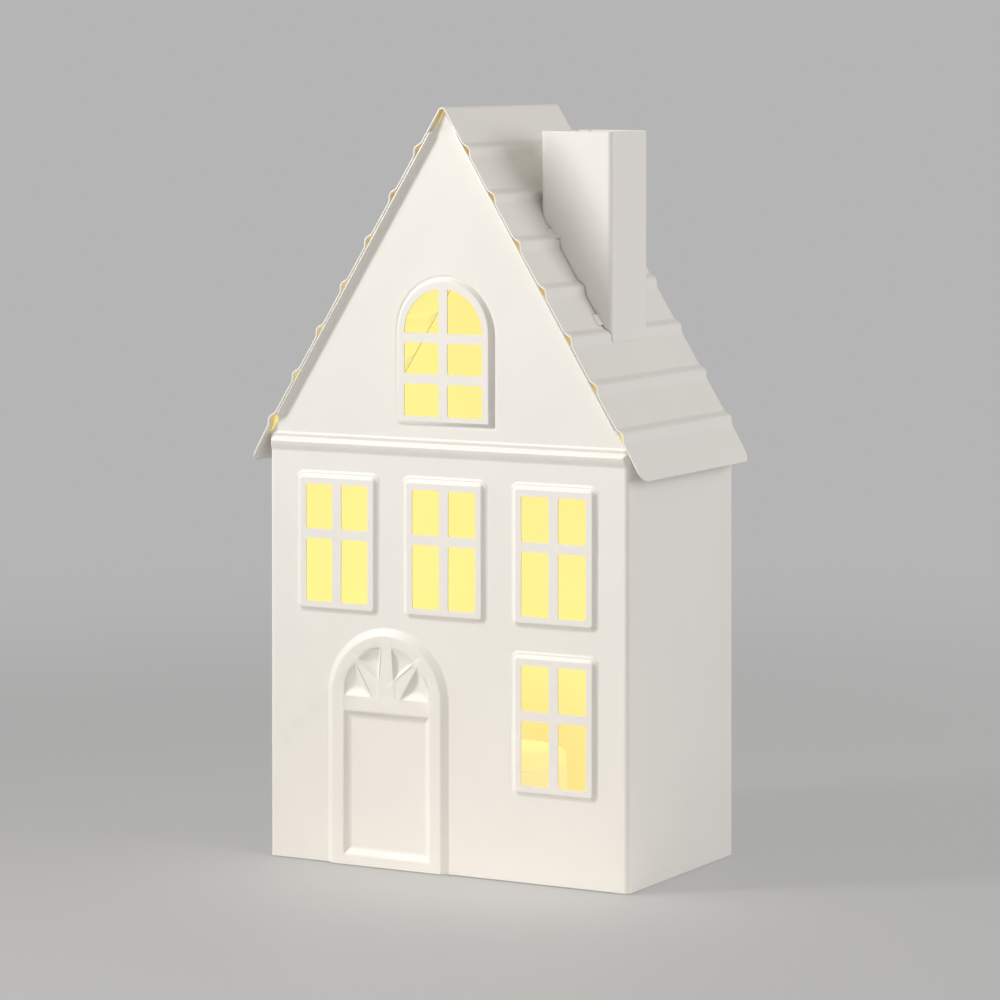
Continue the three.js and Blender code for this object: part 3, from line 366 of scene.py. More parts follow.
def bead_section(z):
    """Height share of the bead: a thin ledge along its top, a groove, and a round bead below them."""
    under = side_profile(z - BEAD_HEIGHTS[0] - BEAD_FOOT, BEAD_UNDER, UNDER_ROUND)
    down = BEAD_HEIGHTS[1] - z
    ledge, ledge_run = BEAD_LEDGE
    groove, groove_run = BEAD_GROOVE
    over = ledge * side_profile(down, ledge_run, EVEN_ROUND)
    over -= groove * side_profile(down - ledge_run, groove_run, EVEN_ROUND)
    over += (1 - ledge + groove) * side_profile(down - BEAD_STEP, BEAD_OVER, OVER_ROUND)
    return np.minimum(under, over)


def grown(rectangle, reach):
    """A rectangle with round corners, larger by this much on every side."""
    centre, half, corner = rectangle
    return centre, (half[0] + reach, half[1] + reach), corner + reach


def window_rectangle(cx, sill):
    width, height = WINDOW_SIZE
    return (cx, sill + height / 2), (width / 2, height / 2), PANE_CORNER


def panel_rectangle():
    low, high = PANEL_HEIGHTS
    return (DOOR_CENTRE, (low + high) / 2), (PANEL_HALF, (high - low) / 2), PANE_CORNER


def pressed_height(x, z):
    """How far the front stands forward of its flat, for all that is pressed out of it and into it."""
    height = TIP_RISE * smooth(z, PEAK - TIP_LENGTH, PEAK - TIP_LENGTH / 3)
    for cx, sill in WINDOW_SILLS:
        inside = inside_rectangle(x, z, *grown(window_rectangle(cx, sill), WINDOW_SIDE))
        top = sill + WINDOW_SIZE[1]
        above = smooth(z, top + MOULDING_FADE[0], top + MOULDING_FADE[1])
        height += WINDOW_PRESS * window_side(inside, above)
    arch = inside_arch(x, z, 0, ARCH_HALF + ARCH_SIDE, ARCH_SILL - ARCH_SIDE, ARCH_SPRING)
    height += ARCH_PRESS * arch_side(arch)
    ends = side_profile(HALF_WIDTH - BEAD_INSET - np.abs(x), BEAD_ENDS)
    height += BEAD_PRESS * np.minimum(bead_section(z), ends)
    door = inside_arch(x, z, DOOR_CENTRE, DOOR_HALF + DOOR_SIDE, DOOR_BELOW, DOOR_SPRING)
    height += DOOR_PRESS * side_profile(door, DOOR_SIDE, DOOR_ROUND)
    inside = inside_rectangle(x, z, *panel_rectangle())
    height -= PANEL_DEPTH * side_profile(inside, PANEL_SIDE, PANEL_ROUND)
    return height - petal_depth(x, z)


def waves(u, v):
    """Two crossed swells of unequal lengths, so that the pattern doesn't repeat over a sheet."""
    k = 2 * math.pi / WAVE_LENGTH
    first = np.sin(k * (0.9 * u + 0.35 * v) + 0.6) * np.sin(k * (0.8 * v - 0.3 * u) + 1.1)
    second = np.sin(1.7 * k * (0.4 * u - v)) * np.sin(1.3 * k * u + 2.0)
    return WAVE_HEIGHT * (first + 0.5 * second)


class BentLine:
    """A line of straight runs, bent to one radius at its corners; inside the house is on its left."""

    def __init__(self, corners, radius):
        points = [np.array(c, float) for c in corners]
        self.runs = []
        self.length = 0.0
        start = points[0]
        for before, corner, after in zip(points, points[1:], points[2:]):
            come = (corner - before) / np.linalg.norm(corner - before)
            go = (after - corner) / np.linalg.norm(after - corner)
            turn = math.atan2(come[0] * go[1] - come[1] * go[0], come @ go)
            tangent = radius * math.tan(abs(turn) / 2)
            self._run(np.linalg.norm(corner - come * tangent - start), start, come)
            self._run(radius * abs(turn), corner - come * tangent, come, radius, math.copysign(1, turn))
            start = corner + go * tangent
        rest = points[-1] - start
        self._run(np.linalg.norm(rest), start, rest / np.linalg.norm(rest))

    def _run(self, size, start, heading, radius=None, hand=0.0):
        self.runs.append((self.length, size, start, heading, radius, hand))
        self.length += size

    def at(self, distance):
        """Points and normals out of the house at distances along the line."""
        distance = np.asarray(distance, float)
        points = np.zeros(distance.shape + (2,))
        normals = np.zeros(distance.shape + (2,))
        last = len(self.runs) - 1
        for i, (start, size, a, heading, radius, hand) in enumerate(self.runs):
            low = -np.inf if i == 0 else start
            high = np.inf if i == last else start + size
            here = (distance >= low) & (distance < high)
            t = distance[here] - start
            side = np.array([heading[1], -heading[0]])
            if radius is None:
                points[here] = a + t[:, None] * heading
                normals[here] = side
            else:
                angle = t / radius
                ahead = (radius * np.sin(angle))[:, None] * heading
                across = (radius * (1 - np.cos(angle)) * hand)[:, None] * -side
                points[here] = a + ahead + across
                normals[here] = np.cos(angle)[:, None] * side + (np.sin(angle) * hand)[:, None] * heading
        return points, normals

    def bend_lines(self, steps):
        """Distances at which the bends start, go on and end."""
        bends = [(start, size) for start, size, _, _, radius, _ in self.runs if radius]
        return [start + size * k / steps for start, size in bends for k in range(steps + 1)]


def arc_points(centre, radius, start, end, steps):
    angles = np.linspace(start, end, steps + 1)
    return [(centre[0] + radius * math.cos(a), centre[1] + radius * math.sin(a)) for a in angles]


def rectangle_loop(centre, half, corner, steps=7):
    """A rectangle with round corners, as a closed loop."""
    quarter = math.pi / 2
    if corner < LEAST_CORNER:
        corner, steps = LEAST_CORNER, 1
    loop = []
    for i, (sx, sz) in enumerate([(1, -1), (1, 1), (-1, 1), (-1, -1)]):
        middle = (centre[0] + sx * (half[0] - corner), centre[1] + sz * (half[1] - corner))
        loop += arc_points(middle, corner, (i - 1) * quarter, i * quarter, steps)
    return loop


def arch_line(centre, half, bottom, spring, steps=56):
    """Up one straight side, over the half-round top and down the other side."""
    top = arc_points((centre, spring), half, 0, math.pi, steps)
    return [(centre + half, bottom)] + top + [(centre - half, bottom)]


def profile_offsets(run, rounding=SOFT_ROUND):
    """Distances in from a pressed side's edge at which it needs a line of points."""
    foot, top = rounding
    shares = [foot * k for k in (-1, -0.6, -0.2, 0.2, 0.6, 1)] + [1 + top * k for k in (-1, -0.4, 0.2, 1)]
    return [run * share for share in shares]


def inside_loops(points, loops):
    """True for points inside an odd number of the loops."""
    odd = np.zeros(len(points), bool)
    x, y = points[:, 0], points[:, 1]
    for loop in loops:
        for (x0, y0), (x1, y1) in zip(loop, loop[1:] + loop[:1]):
            if y0 == y1:
                continue
            crosses = (y0 > y) != (y1 > y)
            odd ^= crosses & (x < x0 + (y - y0) * (x1 - x0) / (y1 - y0))
    return odd


def flat_pattern(outline, holes, lines, specks):
    """Triangles of a flat sheet that keep its outline, its holes and the lines at which its shape changes."""
    merge_within = 1e-4
    least_area = 1e-7
    points, edges = [], []
    loops = [(outline, True)] + [(hole, True) for hole in holes] + [(line, False) for line in lines]
    for loop, is_closed in loops:
        first = len(points)
        points += loop
        edges += [(first + i, first + i + 1) for i in range(len(loop) - 1)]
        if is_closed:
            edges.append((len(points) - 1, first))
    points += specks
    made = geometry.delaunay_2d_cdt([Vector(p) for p in points], edges, [], 0, merge_within)
    flat = np.array([(p.x, p.y) for p in made[0]])
    triangles = np.array(made[2])
    centres = flat[triangles].mean(axis=1)
    keep = inside_loops(centres, [outline] + holes)
    a, b, c = (flat[triangles[:, k]] for k in range(3))
    area = (b[:, 0] - a[:, 0]) * (c[:, 1] - a[:, 1]) - (b[:, 1] - a[:, 1]) * (c[:, 0] - a[:, 0])
    triangles[area < 0] = triangles[area < 0][:, ::-1]
    triangles = triangles[keep & (np.abs(area) > least_area)]
    used, index = np.unique(triangles, return_inverse=True)
    return flat[used], index.reshape(-1, 3)


def unit(vectors):
    return vectors / np.maximum(np.linalg.norm(vectors, axis=1, keepdims=True), 1e-12)


def new_piece(name, points, faces, materials, slots=None, normals=None):
    """A mesh object from points in millimetres, with a finish for each face and normals for each corner."""
    mesh = bpy.data.meshes.new(name)
    mesh.from_pydata((np.asarray(points) * MM).tolist(), [], [list(map(int, f)) for f in faces])
    for material in materials:
        mesh.materials.append(material)
    if slots is not None:
        mesh.polygons.foreach_set("material_index", np.asarray(slots, np.int32))
    mesh.polygons.foreach_set("use_smooth", np.ones(len(faces), bool))
    if normals is not None:
        mesh.normals_split_custom_set(normals.tolist())
    mesh.update()
    piece = bpy.data.objects.new(name, mesh)
    bpy.context.scene.collection.objects.link(piece)
    return piece


def bent_sheet(name, pattern, place, materials, is_lit=None):
    """A sheet of real thickness over a flat pattern: outer face, inner face and a rounded, painted edge.
    is_lit says which points of the inner face take the second finish."""
    flat, triangles = pattern
    u, v = flat[:, 0], flat[:, 1]
    step = 0.02
    outer = place(u, v)
    normal = unit(np.cross(place(u + step, v) - place(u - step, v), place(u, v + step) - place(u, v - step)))
    inner = outer - normal * SHEET
    count = len(outer)

    sides = np.concatenate([triangles[:, [0, 1]], triangles[:, [1, 2]], triangles[:, [2, 0]]])
    codes = sides[:, 0].astype(np.int64) * count + sides[:, 1]
    twins = sides[:, 1].astype(np.int64) * count + sides[:, 0]
    rim = sides[~np.isin(codes, twins)]
    away = np.zeros((count, 3))
    out = np.cross(outer[rim[:, 1]] - outer[rim[:, 0]], normal[rim[:, 0]])
    np.add.at(away, rim[:, 0], unit(out))
    np.add.at(away, rim[:, 1], unit(out))
    on_rim = np.unique(rim)
    away = unit(away[on_rim])
    order = np.zeros(count, int)
    order[on_rim] = np.arange(len(on_rim))
    middle = (outer[on_rim] + inner[on_rim]) / 2 + away * EDGE_BULGE
    middle[:, 2] = np.maximum(middle[:, 2], np.minimum(outer[on_rim, 2], inner[on_rim, 2]))

    a, b = rim[:, 0], rim[:, 1]
    ma, mb = order[a] + 2 * count, order[b] + 2 * count
    upper = np.stack([b, a, ma, mb], axis=1)
    lower = np.stack([mb, ma, a + count, b + count], axis=1)
    faces = list(triangles) + list(triangles[:, ::-1] + count) + list(upper) + list(lower)
    lit = is_lit(inner[triangles].mean(axis=1)) if is_lit else np.zeros(len(triangles), bool)
    slots = [0] * len(triangles) + list(lit.astype(int)) + [0] * (2 * len(rim))

    na, nb = away[order[a]], away[order[b]]
    lean = 0.5
    corner = [
        normal[triangles].reshape(-1, 3),
        -normal[triangles[:, ::-1]].reshape(-1, 3),
        np.stack([unit(nb + lean * normal[b]), unit(na + lean * normal[a]), na, nb], axis=1).reshape(-1, 3),
        np.stack([nb, na, unit(na - lean * normal[a]), unit(nb - lean * normal[b])], axis=1).reshape(-1, 3),
    ]
    points = np.concatenate([outer, inner, middle])
    return new_piece(name, points, faces, materials, slots, np.concatenate(corner))


def grid_specks(low, high, spacing):
    us = np.arange(low[0] + spacing / 2, high[0], spacing)
    vs = np.arange(low[1] + spacing / 2, high[1], spacing)
    return [(float(a), float(b)) for a in us for b in vs]


# Colours and finishes


def colour(hex_value):
    """An sRGB colour such as "#ECE9E3" in the linear values that the shaders take."""
    parts = [int(hex_value[i : i + 2], 16) / 255 for i in (1, 3, 5)]
    return [p / 12.92 if p <= 0.04045 else ((p + 0.055) / 1.055) ** 2.4 for p in parts] + [1.0]


def add(material, kind, sockets=None, **settings):
    """Adds a node, sets its properties, and sets or links its sockets."""
    tree = material.node_tree
    node = tree.nodes.new("ShaderNode" + kind)
    for name, value in settings.items():
        setattr(node, name, value)
    for name, value in (sockets or {}).items():
        if isinstance(value, bpy.types.NodeSocket):
            tree.links.new(value, node.inputs[name])
        else:
            node.inputs[name].default_value = value
    return node


def new_finish(name):
    material = bpy.data.materials.new(name)
    material.use_nodes = True
    material.node_tree.nodes.clear()
    where = add(material, "TexCoord").outputs["Object"]
    return material, where


def surfaced(material, sockets):
    """Ends a material with its surface."""
    surface = add(material, "BsdfPrincipled", sockets).outputs[0]
    add(material, "OutputMaterial", {"Surface": surface})
    return material


# Sockets of a mix of two colours: the share of the second, the two colours, and the result
MIX_SHARE, MIX_FIRST, MIX_SECOND, MIX_RESULT = 0, 6, 7, 2


def clouded(material, where, size, first, second):
    """A colour that drifts between two tones, in clouds about this many millimetres across."""
    cloud = add(material, "TexNoise", {"Vector": where, "Scale": 1 / (size * MM)}).outputs["Fac"]
    sockets = {MIX_SHARE: cloud, MIX_FIRST: colour(first), MIX_SECOND: colour(second)}
    return add(material, "Mix", sockets, data_type="RGBA").outputs[MIX_RESULT]


def uneven_gloss(material, where, size, low, high):
    """A roughness that wanders between two values, in patches about this many millimetres across."""
    patches = add(material, "TexNoise", {"Vector": where, "Scale": 1 / (size * MM)}).outputs["Fac"]
    return add(material, "MapRange", {"Value": patches, "To Min": low, "To Max": high}).outputs["Result"]


def lumpy_skin(material, where, size, depth, detail=1.0, over=None):
    """A skin with lumps about this many millimetres across and this many deep, over another skin if given."""
    sockets = {"Vector": where, "Scale": 1 / (size * MM), "Detail": detail}
    lumps = add(material, "TexNoise", sockets).outputs["Fac"]
    sockets = {"Height": lumps, "Distance": depth * MM}
    if over is not None:
        sockets["Normal"] = over
    return add(material, "Bump", sockets).outputs["Normal"]


# Powder coat: its orange peel is about this many millimetres across, and this deep
PEEL_SIZE = 1.1
PEEL_DEPTH = 0.006


def powder_coat():
    """White polyester powder on steel, sprayed and baked: a satin skin with a fine orange peel, a little
    glossier where it flowed thicker, and no grain of the steel below."""
    material, where = new_finish("white_powder_coat")
    peel = lumpy_skin(material, where, PEEL_SIZE, PEEL_DEPTH)
    sockets = {
        "Base Color": clouded(material, where, 34, "#EEECE7", "#EAE7E2"),
        "Roughness": uneven_gloss(material, where, 14, 0.40, 0.50),
        "Normal": lumpy_skin(material, where, 9, 0.012, over=peel),
        "IOR": 1.5,
    }
    return surfaced(material, sockets)


def lit_coat(name, glow, zones):
    """The same powder coat on the inside, where the lamp's light bounces from wall to wall: it glows with
    that light, and less in the corners that the light hardly reaches. Each zone has an axis, the place where
    it begins, the place where it is full, and its tone."""
    material, where = new_finish(name)
    place = add(material, "SeparateXYZ", {"Vector": where}).outputs
    tone = colour(glow)
    for axis, begins, full, zone_tone in zones:
        sockets = {"Value": place[axis], "From Min": begins * MM, "From Max": full * MM}
        share = add(material, "MapRange", sockets, interpolation_type="SMOOTHSTEP").outputs["Result"]
        sockets = {MIX_SHARE: share, MIX_FIRST: tone, MIX_SECOND: colour(zone_tone)}
        tone = add(material, "Mix", sockets, data_type="RGBA").outputs[MIX_RESULT]
    sockets = {
        # Its base colour is the white coat painted darker and yellower, for the lamp's light on it, so that
        # the painted glow does not build up from wall to wall.
        "Base Color": clouded(material, where, 22, "#C8C3A8", "#C0BB9E"),
        "Roughness": uneven_gloss(material, where, 14, 0.45, 0.6),
        "Normal": lumpy_skin(material, where, PEEL_SIZE, PEEL_DEPTH),
        "Emission Color": tone,
        "Emission Strength": 0.5,
    }
    return surfaced(material, sockets)


def moulded_plastic(name, first, second, roughness, skin_depth=0.01, glow=0.0):
    """Injection-moulded polystyrene or ABS: an even colour and the fine spark-eroded skin of the mould, drawn
    coarser than it is, at half a millimetre, so that it shows. A thin wall round a lamp glows a little."""
    material, where = new_finish(name)
    sockets = {
        "Base Color": clouded(material, where, 18, first, second),
        "Roughness": uneven_gloss(material, where, 6, roughness - 0.05, roughness + 0.05),
        "Normal": lumpy_skin(material, where, 0.5, skin_depth),
        "IOR": 1.53,
        # A glow is painted light: a faint warm emission for the lamp's light on the piece.
        "Emission Color": colour("#FFE4D2"),
        "Emission Strength": glow,
    }
    return surfaced(material, sockets)


def frosted_cap_plastic():
    """Milky moulded polystyrene over the diode: it scatters the light, so the whole cap glows evenly. Its
    frosting is drawn coarser than it is, at 0.6 mm, so that it shows."""
    material, where = new_finish("frosted_lit_plastic")
    sockets = {
        "Base Color": clouded(material, where, 12, "#F3E3A8", "#EFDDA0"),
        "Roughness": uneven_gloss(material, where, 5, 0.5, 0.6),
        "Normal": lumpy_skin(material, where, 0.6, 0.01),
        "Emission Color": colour("#FFBCAE"),
        "Emission Strength": 0.5,
        "IOR": 1.59,
    }
    return surfaced(material, sockets)


def plated_steel(name, first, second, roughness):
    """Bright nickel or zinc plating on rolled steel: a metal sheen with rolling marks along it, drawn coarser
    than they are, 2.5 mm long and nine times as narrow, so that they show."""
    material, where = new_finish(name)
    stretched = add(material, "Mapping", {"Vector": where, "Scale": (1.0, 9.0, 9.0)}).outputs["Vector"]
    marks = add(material, "TexNoise", {"Vector": stretched, "Scale": 1 / (2.5 * MM)}).outputs["Fac"]
    spread = {"Value": marks, "To Min": roughness - 0.08, "To Max": roughness + 0.08}
    sockets = {
        "Base Color": clouded(material, where, 3, first, second),
        "Metallic": 1.0,
        "Roughness": add(material, "MapRange", spread).outputs["Result"],
        "Normal": add(material, "Bump", {"Height": marks, "Distance": 0.004 * MM}).outputs["Normal"],
    }
    return surfaced(material, sockets)


# Cells: how far from a cell's middle the second colour of the film begins, and the bare can
FILM_BAND = 14.5
FILM_END = 21.2


def shrunk_cell_jacket():
    """Shrink film in two colours, drawn tight over a steel can, with the bare nickel of the can at both
    ends: a faint metal sheen under the film, and a bright one past it."""
    material, where = new_finish("cell_film_and_nickel")
    along = add(material, "SeparateXYZ", {"Vector": where}).outputs["X"]
    far = add(material, "Math", {0: along}, operation="ABSOLUTE").outputs[0]
    bare = add(material, "Math", {0: far, 1: FILM_END * MM}, operation="GREATER_THAN").outputs[0]
    band = add(material, "Math", {0: far, 1: FILM_BAND * MM}, operation="GREATER_THAN").outputs[0]
    sockets = {MIX_SHARE: band, MIX_FIRST: colour("#34373C"), MIX_SECOND: colour("#8C6B3E")}
    film = add(material, "Mix", sockets, data_type="RGBA").outputs[MIX_RESULT]
    sockets = {MIX_SHARE: bare, MIX_FIRST: film, MIX_SECOND: colour("#C9C7C0")}
    sockets = {
        "Base Color": add(material, "Mix", sockets, data_type="RGBA").outputs[MIX_RESULT],
        "Metallic": add(material, "MapRange", {"Value": bare, "To Min": 0.25}).outputs["Result"],
        "Roughness": uneven_gloss(material, where, 5, 0.26, 0.36),
        "Normal": lumpy_skin(material, where, 4, 0.02, 2.0),
    }
    return surfaced(material, sockets)


def solder_mask_board():
    """Green solder mask, screened over etched copper on glass laminate: paler and slightly raised over the
    tracks, which lie about 4 mm apart."""
    material, where = new_finish("green_solder_mask")
    sockets = {"Vector": where, "Scale": 1 / (4.2 * MM)}
    cells = add(material, "TexVoronoi", sockets, feature="DISTANCE_TO_EDGE")
    sockets = {0: cells.outputs["Distance"], 1: 0.09}
    track = add(material, "Math", sockets, operation="LESS_THAN").outputs[0]
    sockets = {MIX_SHARE: track, MIX_FIRST: colour("#22663E"), MIX_SECOND: colour("#2C7247")}
    sockets = {
        "Base Color": add(material, "Mix", sockets, data_type="RGBA").outputs[MIX_RESULT],
        "Roughness": uneven_gloss(material, where, 3, 0.3, 0.42),
        "Normal": add(material, "Bump", {"Height": track, "Distance": 0.03 * MM}).outputs["Normal"],
        "IOR": 1.5,
    }
    return surfaced(material, sockets)


def diode_epoxy():
    """Clear cast epoxy, glassy and smooth, with the lit die's light all through it."""
    material, where = new_finish("lit_diode_epoxy")
    sockets = {
        "Base Color": clouded(material, where, 2, "#FFF4CF", "#FBE9B4"),
        "Roughness": 0.12,
        "Normal": lumpy_skin(material, where, 1.5, 0.01, 2.0),
        "Emission Color": colour("#FFE08A"),
        "Emission Strength": 1.0,
        "IOR": 1.54,
    }
    return surfaced(material, sockets)


# The inside glows yellow, and brown under the roof and along the left wall, where little light comes
LIT_YELLOW = "#FFF8A2"
LIT_WARM = "#FFE098"
LIT_BROWN = "#B08456"
UNDER_ROOF = ("Z", 238, 262, LIT_BROWN)
FLOOR_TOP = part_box("floor_plate")[1].z / MM

white_coat = powder_coat()
# Painted light on the inner walls: above the bead, from 14 mm left of the middle rightwards, the yellow glow
# turns brown; it is also brown under the roof, and warmer towards the foot.
lit_walls = lit_coat(
    "lit_wall_coat",
    LIT_YELLOW,
    [("X", -28, -14, LIT_BROWN), ("Z", 178, 160, LIT_YELLOW), UNDER_ROOF, ("Z", 74, 36, LIT_WARM)],
)
# Painted light under the roof: brown where little light comes, and towards the front edge first pale yellow,
# then dark brown, as painted shade in the narrow gap over the gable's folded edge.
lit_roof = lit_coat(
    "lit_roof_coat",
    LIT_YELLOW,
    [UNDER_ROOF, ("Y", -39, -42.5, "#FFE28C"), ("Y", -42.5, -45.5, "#7E5A34")],
)
# The floor plate's inner face takes the painted glow; below the plate's top the painted glow is turned off.
under_floor = ("Z", FLOOR_TOP - 0.1, FLOOR_TOP - 0.4, "#000000")
lit_floor = lit_coat("lit_floor_coat", LIT_WARM, [under_floor])
white_mould = moulded_plastic("white_moulded_plastic", "#F1EFE9", "#ECEAE3", 0.42)
# The lamp housing takes a faint painted glow for the lamp's light on it; it is no lamp.
lit_mould = moulded_plastic("lit_white_moulded_plastic", "#F1EFE9", "#ECEAE3", 0.42, glow=0.17)
black_mould = moulded_plastic("black_moulded_plastic", "#202022", "#2A2A2C", 0.45)
lit_cap = frosted_cap_plastic()
nickel_spring = plated_steel("nickel_spring_steel", "#CFCBC2", "#BDB9B0", 0.28)
zinc_screw = plated_steel("zinc_screw_steel", "#BFC1C2", "#A9ABAD", 0.34)
cell_film = shrunk_cell_jacket()
board_mask = solder_mask_board()
diode_clear = diode_epoxy()
resistor_coat = moulded_plastic("resistor_lacquer", "#CDB58A", "#BFA57A", 0.5, 0.02)
red_sleeve = moulded_plastic("red_wire_sleeve", "#B3261E", "#A5221B", 0.45)
black_sleeve = moulded_plastic("black_wire_sleeve", "#1E1E20", "#262628", 0.45)


# Front, gable and side walls: one sheet

wall_line = BentLine(
    [
        (-HALF_WIDTH + RETURN_WIDTH, BACK_FACE),
        (-HALF_WIDTH, BACK_FACE),
        (-HALF_WIDTH, FRONT_FACE),
        (HALF_WIDTH, FRONT_FACE),
        (HALF_WIDTH, BACK_FACE),
        (HALF_WIDTH - RETURN_WIDTH, BACK_FACE),
    ],
    BEND,
)
WALL_MIDDLE = wall_line.length / 2
FRONT_HALF = HALF_WIDTH - BEND
BEND_LENGTH = BEND * math.pi / 2
SIDE_START = FRONT_HALF + BEND_LENGTH
SIDE_END = SIDE_START + BACK_FACE - FRONT_FACE - 2 * BEND
FLANGE_OUT = -SHEET - SHEET_GAP
FOLD_ANGLE = math.pi / 2 - PITCH
FOLD_LENGTH = BEND * FOLD_ANGLE


def height_under_flange(x, below):
    """Height, at this distance from the middle, of a line this much below the outer face of the flanges."""
    out = FLANGE_OUT - below
    return from_slope(1, (x - out * SIN) / COS, out)[1]


WALL_TOP = height_under_flange(HALF_WIDTH, SHEET)
FOLD_START = height_under_flange(HALF_WIDTH, 0) - BEND * math.tan(FOLD_ANGLE / 2)
FOLD_END = FOLD_START + FOLD_LENGTH + WALL_TOP_FLANGE


def fold_over(distance, bend, angle=math.pi / 2):
    """How far a point goes on and how far it goes across when the sheet is bent past a line."""
    distance = np.maximum(distance, 0)
    turned = np.minimum(distance / bend, angle)
    rest = distance - bend * turned
    ahead = bend * np.sin(turned) + rest * math.cos(angle)
    across = bend * (1 - np.cos(turned)) + rest * math.sin(angle)
    return ahead, across


LIP_LINE = FLANGE_OUT - SHEET - LIP_BEND
LIP_END = LIP_LINE + LIP_BEND * math.pi / 2 + FRONT_FLANGE - LIP_BEND


def gable_fold(x, z, line, bend, here):
    """The edge of a gable that is folded at the roof: where its points go, how far they go across, and which
    points are on it."""
    along, out = on_slope(x, z)
    ahead, across = fold_over(out - line, bend)
    share = smooth(along, FLANGE_TOP, FLANGE_TOP + FLANGE_TAPER)
    share = share * (1 - smooth(along, FLANGE_FOOT - FLANGE_BLEND, FLANGE_FOOT))
    share = np.where((out > line) & here, share, 0)
    fold_x, fold_z = from_slope(np.sign(x), along, out + share * (line + ahead - out))
    return fold_x, fold_z, share * across, share > 0


def gable_fold_lines(side, line, bend, end):
    """Lines along the bend of a gable's folded edge, and lines where the edge runs out above and below."""
    lines = []
    for k in range(FOLD_STEPS + 1):
        out = line + bend * math.pi / 2 * k / FOLD_STEPS
        lines.append([from_slope(side, FLANGE_TOP, out), from_slope(side, FLANGE_FOOT, out)])
    for start, size in ((FLANGE_TOP, FLANGE_TAPER), (FLANGE_FOOT - FLANGE_BLEND, FLANGE_BLEND)):
        for k in range(RUN_OUT_STEPS + 1):
            along = start + size * k / RUN_OUT_STEPS
            lines.append([from_slope(side, along, line), from_slope(side, along, end)])
    return lines


def place_wall(u, v):
    """From the flat pattern (round the house, up) to the outer face."""
    points, normals = wall_line.at(u)
    x = u - WALL_MIDDLE
    on_front = np.abs(x) < SIDE_START
    on_gable = on_front & (v > SHOULDER_HEIGHT)
    fold_x, fold_z, forward, folded = gable_fold(x, v, LIP_LINE, LIP_BEND, on_gable)
    points[folded, 0] = fold_x[folded]
    z = np.where(folded, fold_z, v)
    forward = forward + np.where(on_front, pressed_height(x, v), 0)
    up, inward = fold_over(v - FOLD_START, BEND, FOLD_ANGLE)
    on_side = ~on_front & (v > FOLD_START)
    z = np.where(on_side, FOLD_START + up, z)
    forward = forward - np.where(on_side, inward, 0)
    below_roof = -on_slope(x, v)[1]
    calm = smooth(v, 0, CALM_FOOT) * np.where(on_front, smooth(below_roof, *CALM_SLOPE), 1)
    to_bend = np.minimum(np.abs(np.abs(x) - FRONT_HALF), np.abs(np.abs(x) - SIDE_START))
    to_bend = np.minimum(to_bend, np.maximum(SIDE_END - np.abs(x), 0))
    eave = 1 - smooth(v, *CALM_EAVE) * ~on_front
    forward = forward + waves(u, v) * calm * smooth(to_bend, 0, CALM_BEND) * eave
    flat = points + normals * forward[:, None]
    return np.stack([flat[:, 0], flat[:, 1], z], axis=1)


def shifted(points):
    """Points measured from the middle of the front, on the wall's flat pattern."""
    return [(WALL_MIDDLE + x, z) for x, z in points]


def closed(loop):
    return loop + loop[:1]


def wall_outline():
    edge_along = (FRONT_HALF + GABLE_DROP * SIN) / COS
    half_lip = (LIP_END - GABLE_DROP) / 2
    fold_heights = (WALL_TOP, FOLD_END - TOP_FOLD_CORNER, FOLD_END)
    half = [(wall_line.length / 2, FOOT_LIFT), (wall_line.length / 2, WALL_TOP)]
    half += [(SIDE_END - back, height) for back, height in zip(TOP_FOLD_BACK, fold_heights)]
    half += [(SIDE_START + front, height) for front, height in zip(TOP_FOLD_FRONT, reversed(fold_heights))]
    half += [
        (FRONT_HALF + BEND_LENGTH / 2, WALL_TOP),
        from_slope(1, edge_along, -GABLE_DROP),
        from_slope(1, FLANGE_FOOT, -GABLE_DROP),
        from_slope(1, FLANGE_FOOT - FLANGE_BLEND / 2, half_lip + LIP_FULLNESS),
        from_slope(1, FLANGE_FOOT - FLANGE_BLEND, LIP_END),
        from_slope(1, FLANGE_TOP + FLANGE_TAPER, LIP_END),
        from_slope(1, FLANGE_TOP + FLANGE_TAPER / 2, half_lip),
        from_slope(1, FLANGE_TOP, -GABLE_DROP),
    ]
    tip = (0.0, PEAK - GABLE_DROP / COS)
    return shifted(half + [tip] + [(-x, z) for x, z in reversed(half)])


def pane_holes():
    near, far = ARCH_PANE
    panes = []
    for cx, sill in WINDOW_SILLS:
        for low, high in PANE_ROWS:
            panes.append((cx, (MULLION + PANE_WIDTH) / 2, sill + (low + high) / 2, PANE_WIDTH, high - low))
    for low, high in ARCH_ROWS:
        panes.append((0, (near + far) / 2, (low + high) / 2, far - near, high - low))
    holes = []
    for cx, aside, cz, width, height in panes:
        for side in (-1, 1):
            centre = (cx + side * aside, cz)
            holes.append(rectangle_loop(centre, (width / 2, height / 2), PANE_CORNER, steps=5))
    curve = arc_points((0, ARCH_TOP_PANE), far, 0, math.acos(near / far), steps=28)
    curve = [(near, ARCH_TOP_PANE)] + curve
    holes += [curve, [(-x, z) for x, z in reversed(curve)]]
    return [shifted(hole) for hole in holes]


def moulding_offsets(before, run):
    """Distances in from a moulded side's edge at which it needs a line, from before it to past its run."""
    return np.linspace(-before, run + MOULDING_PAST, MOULDING_LINES)


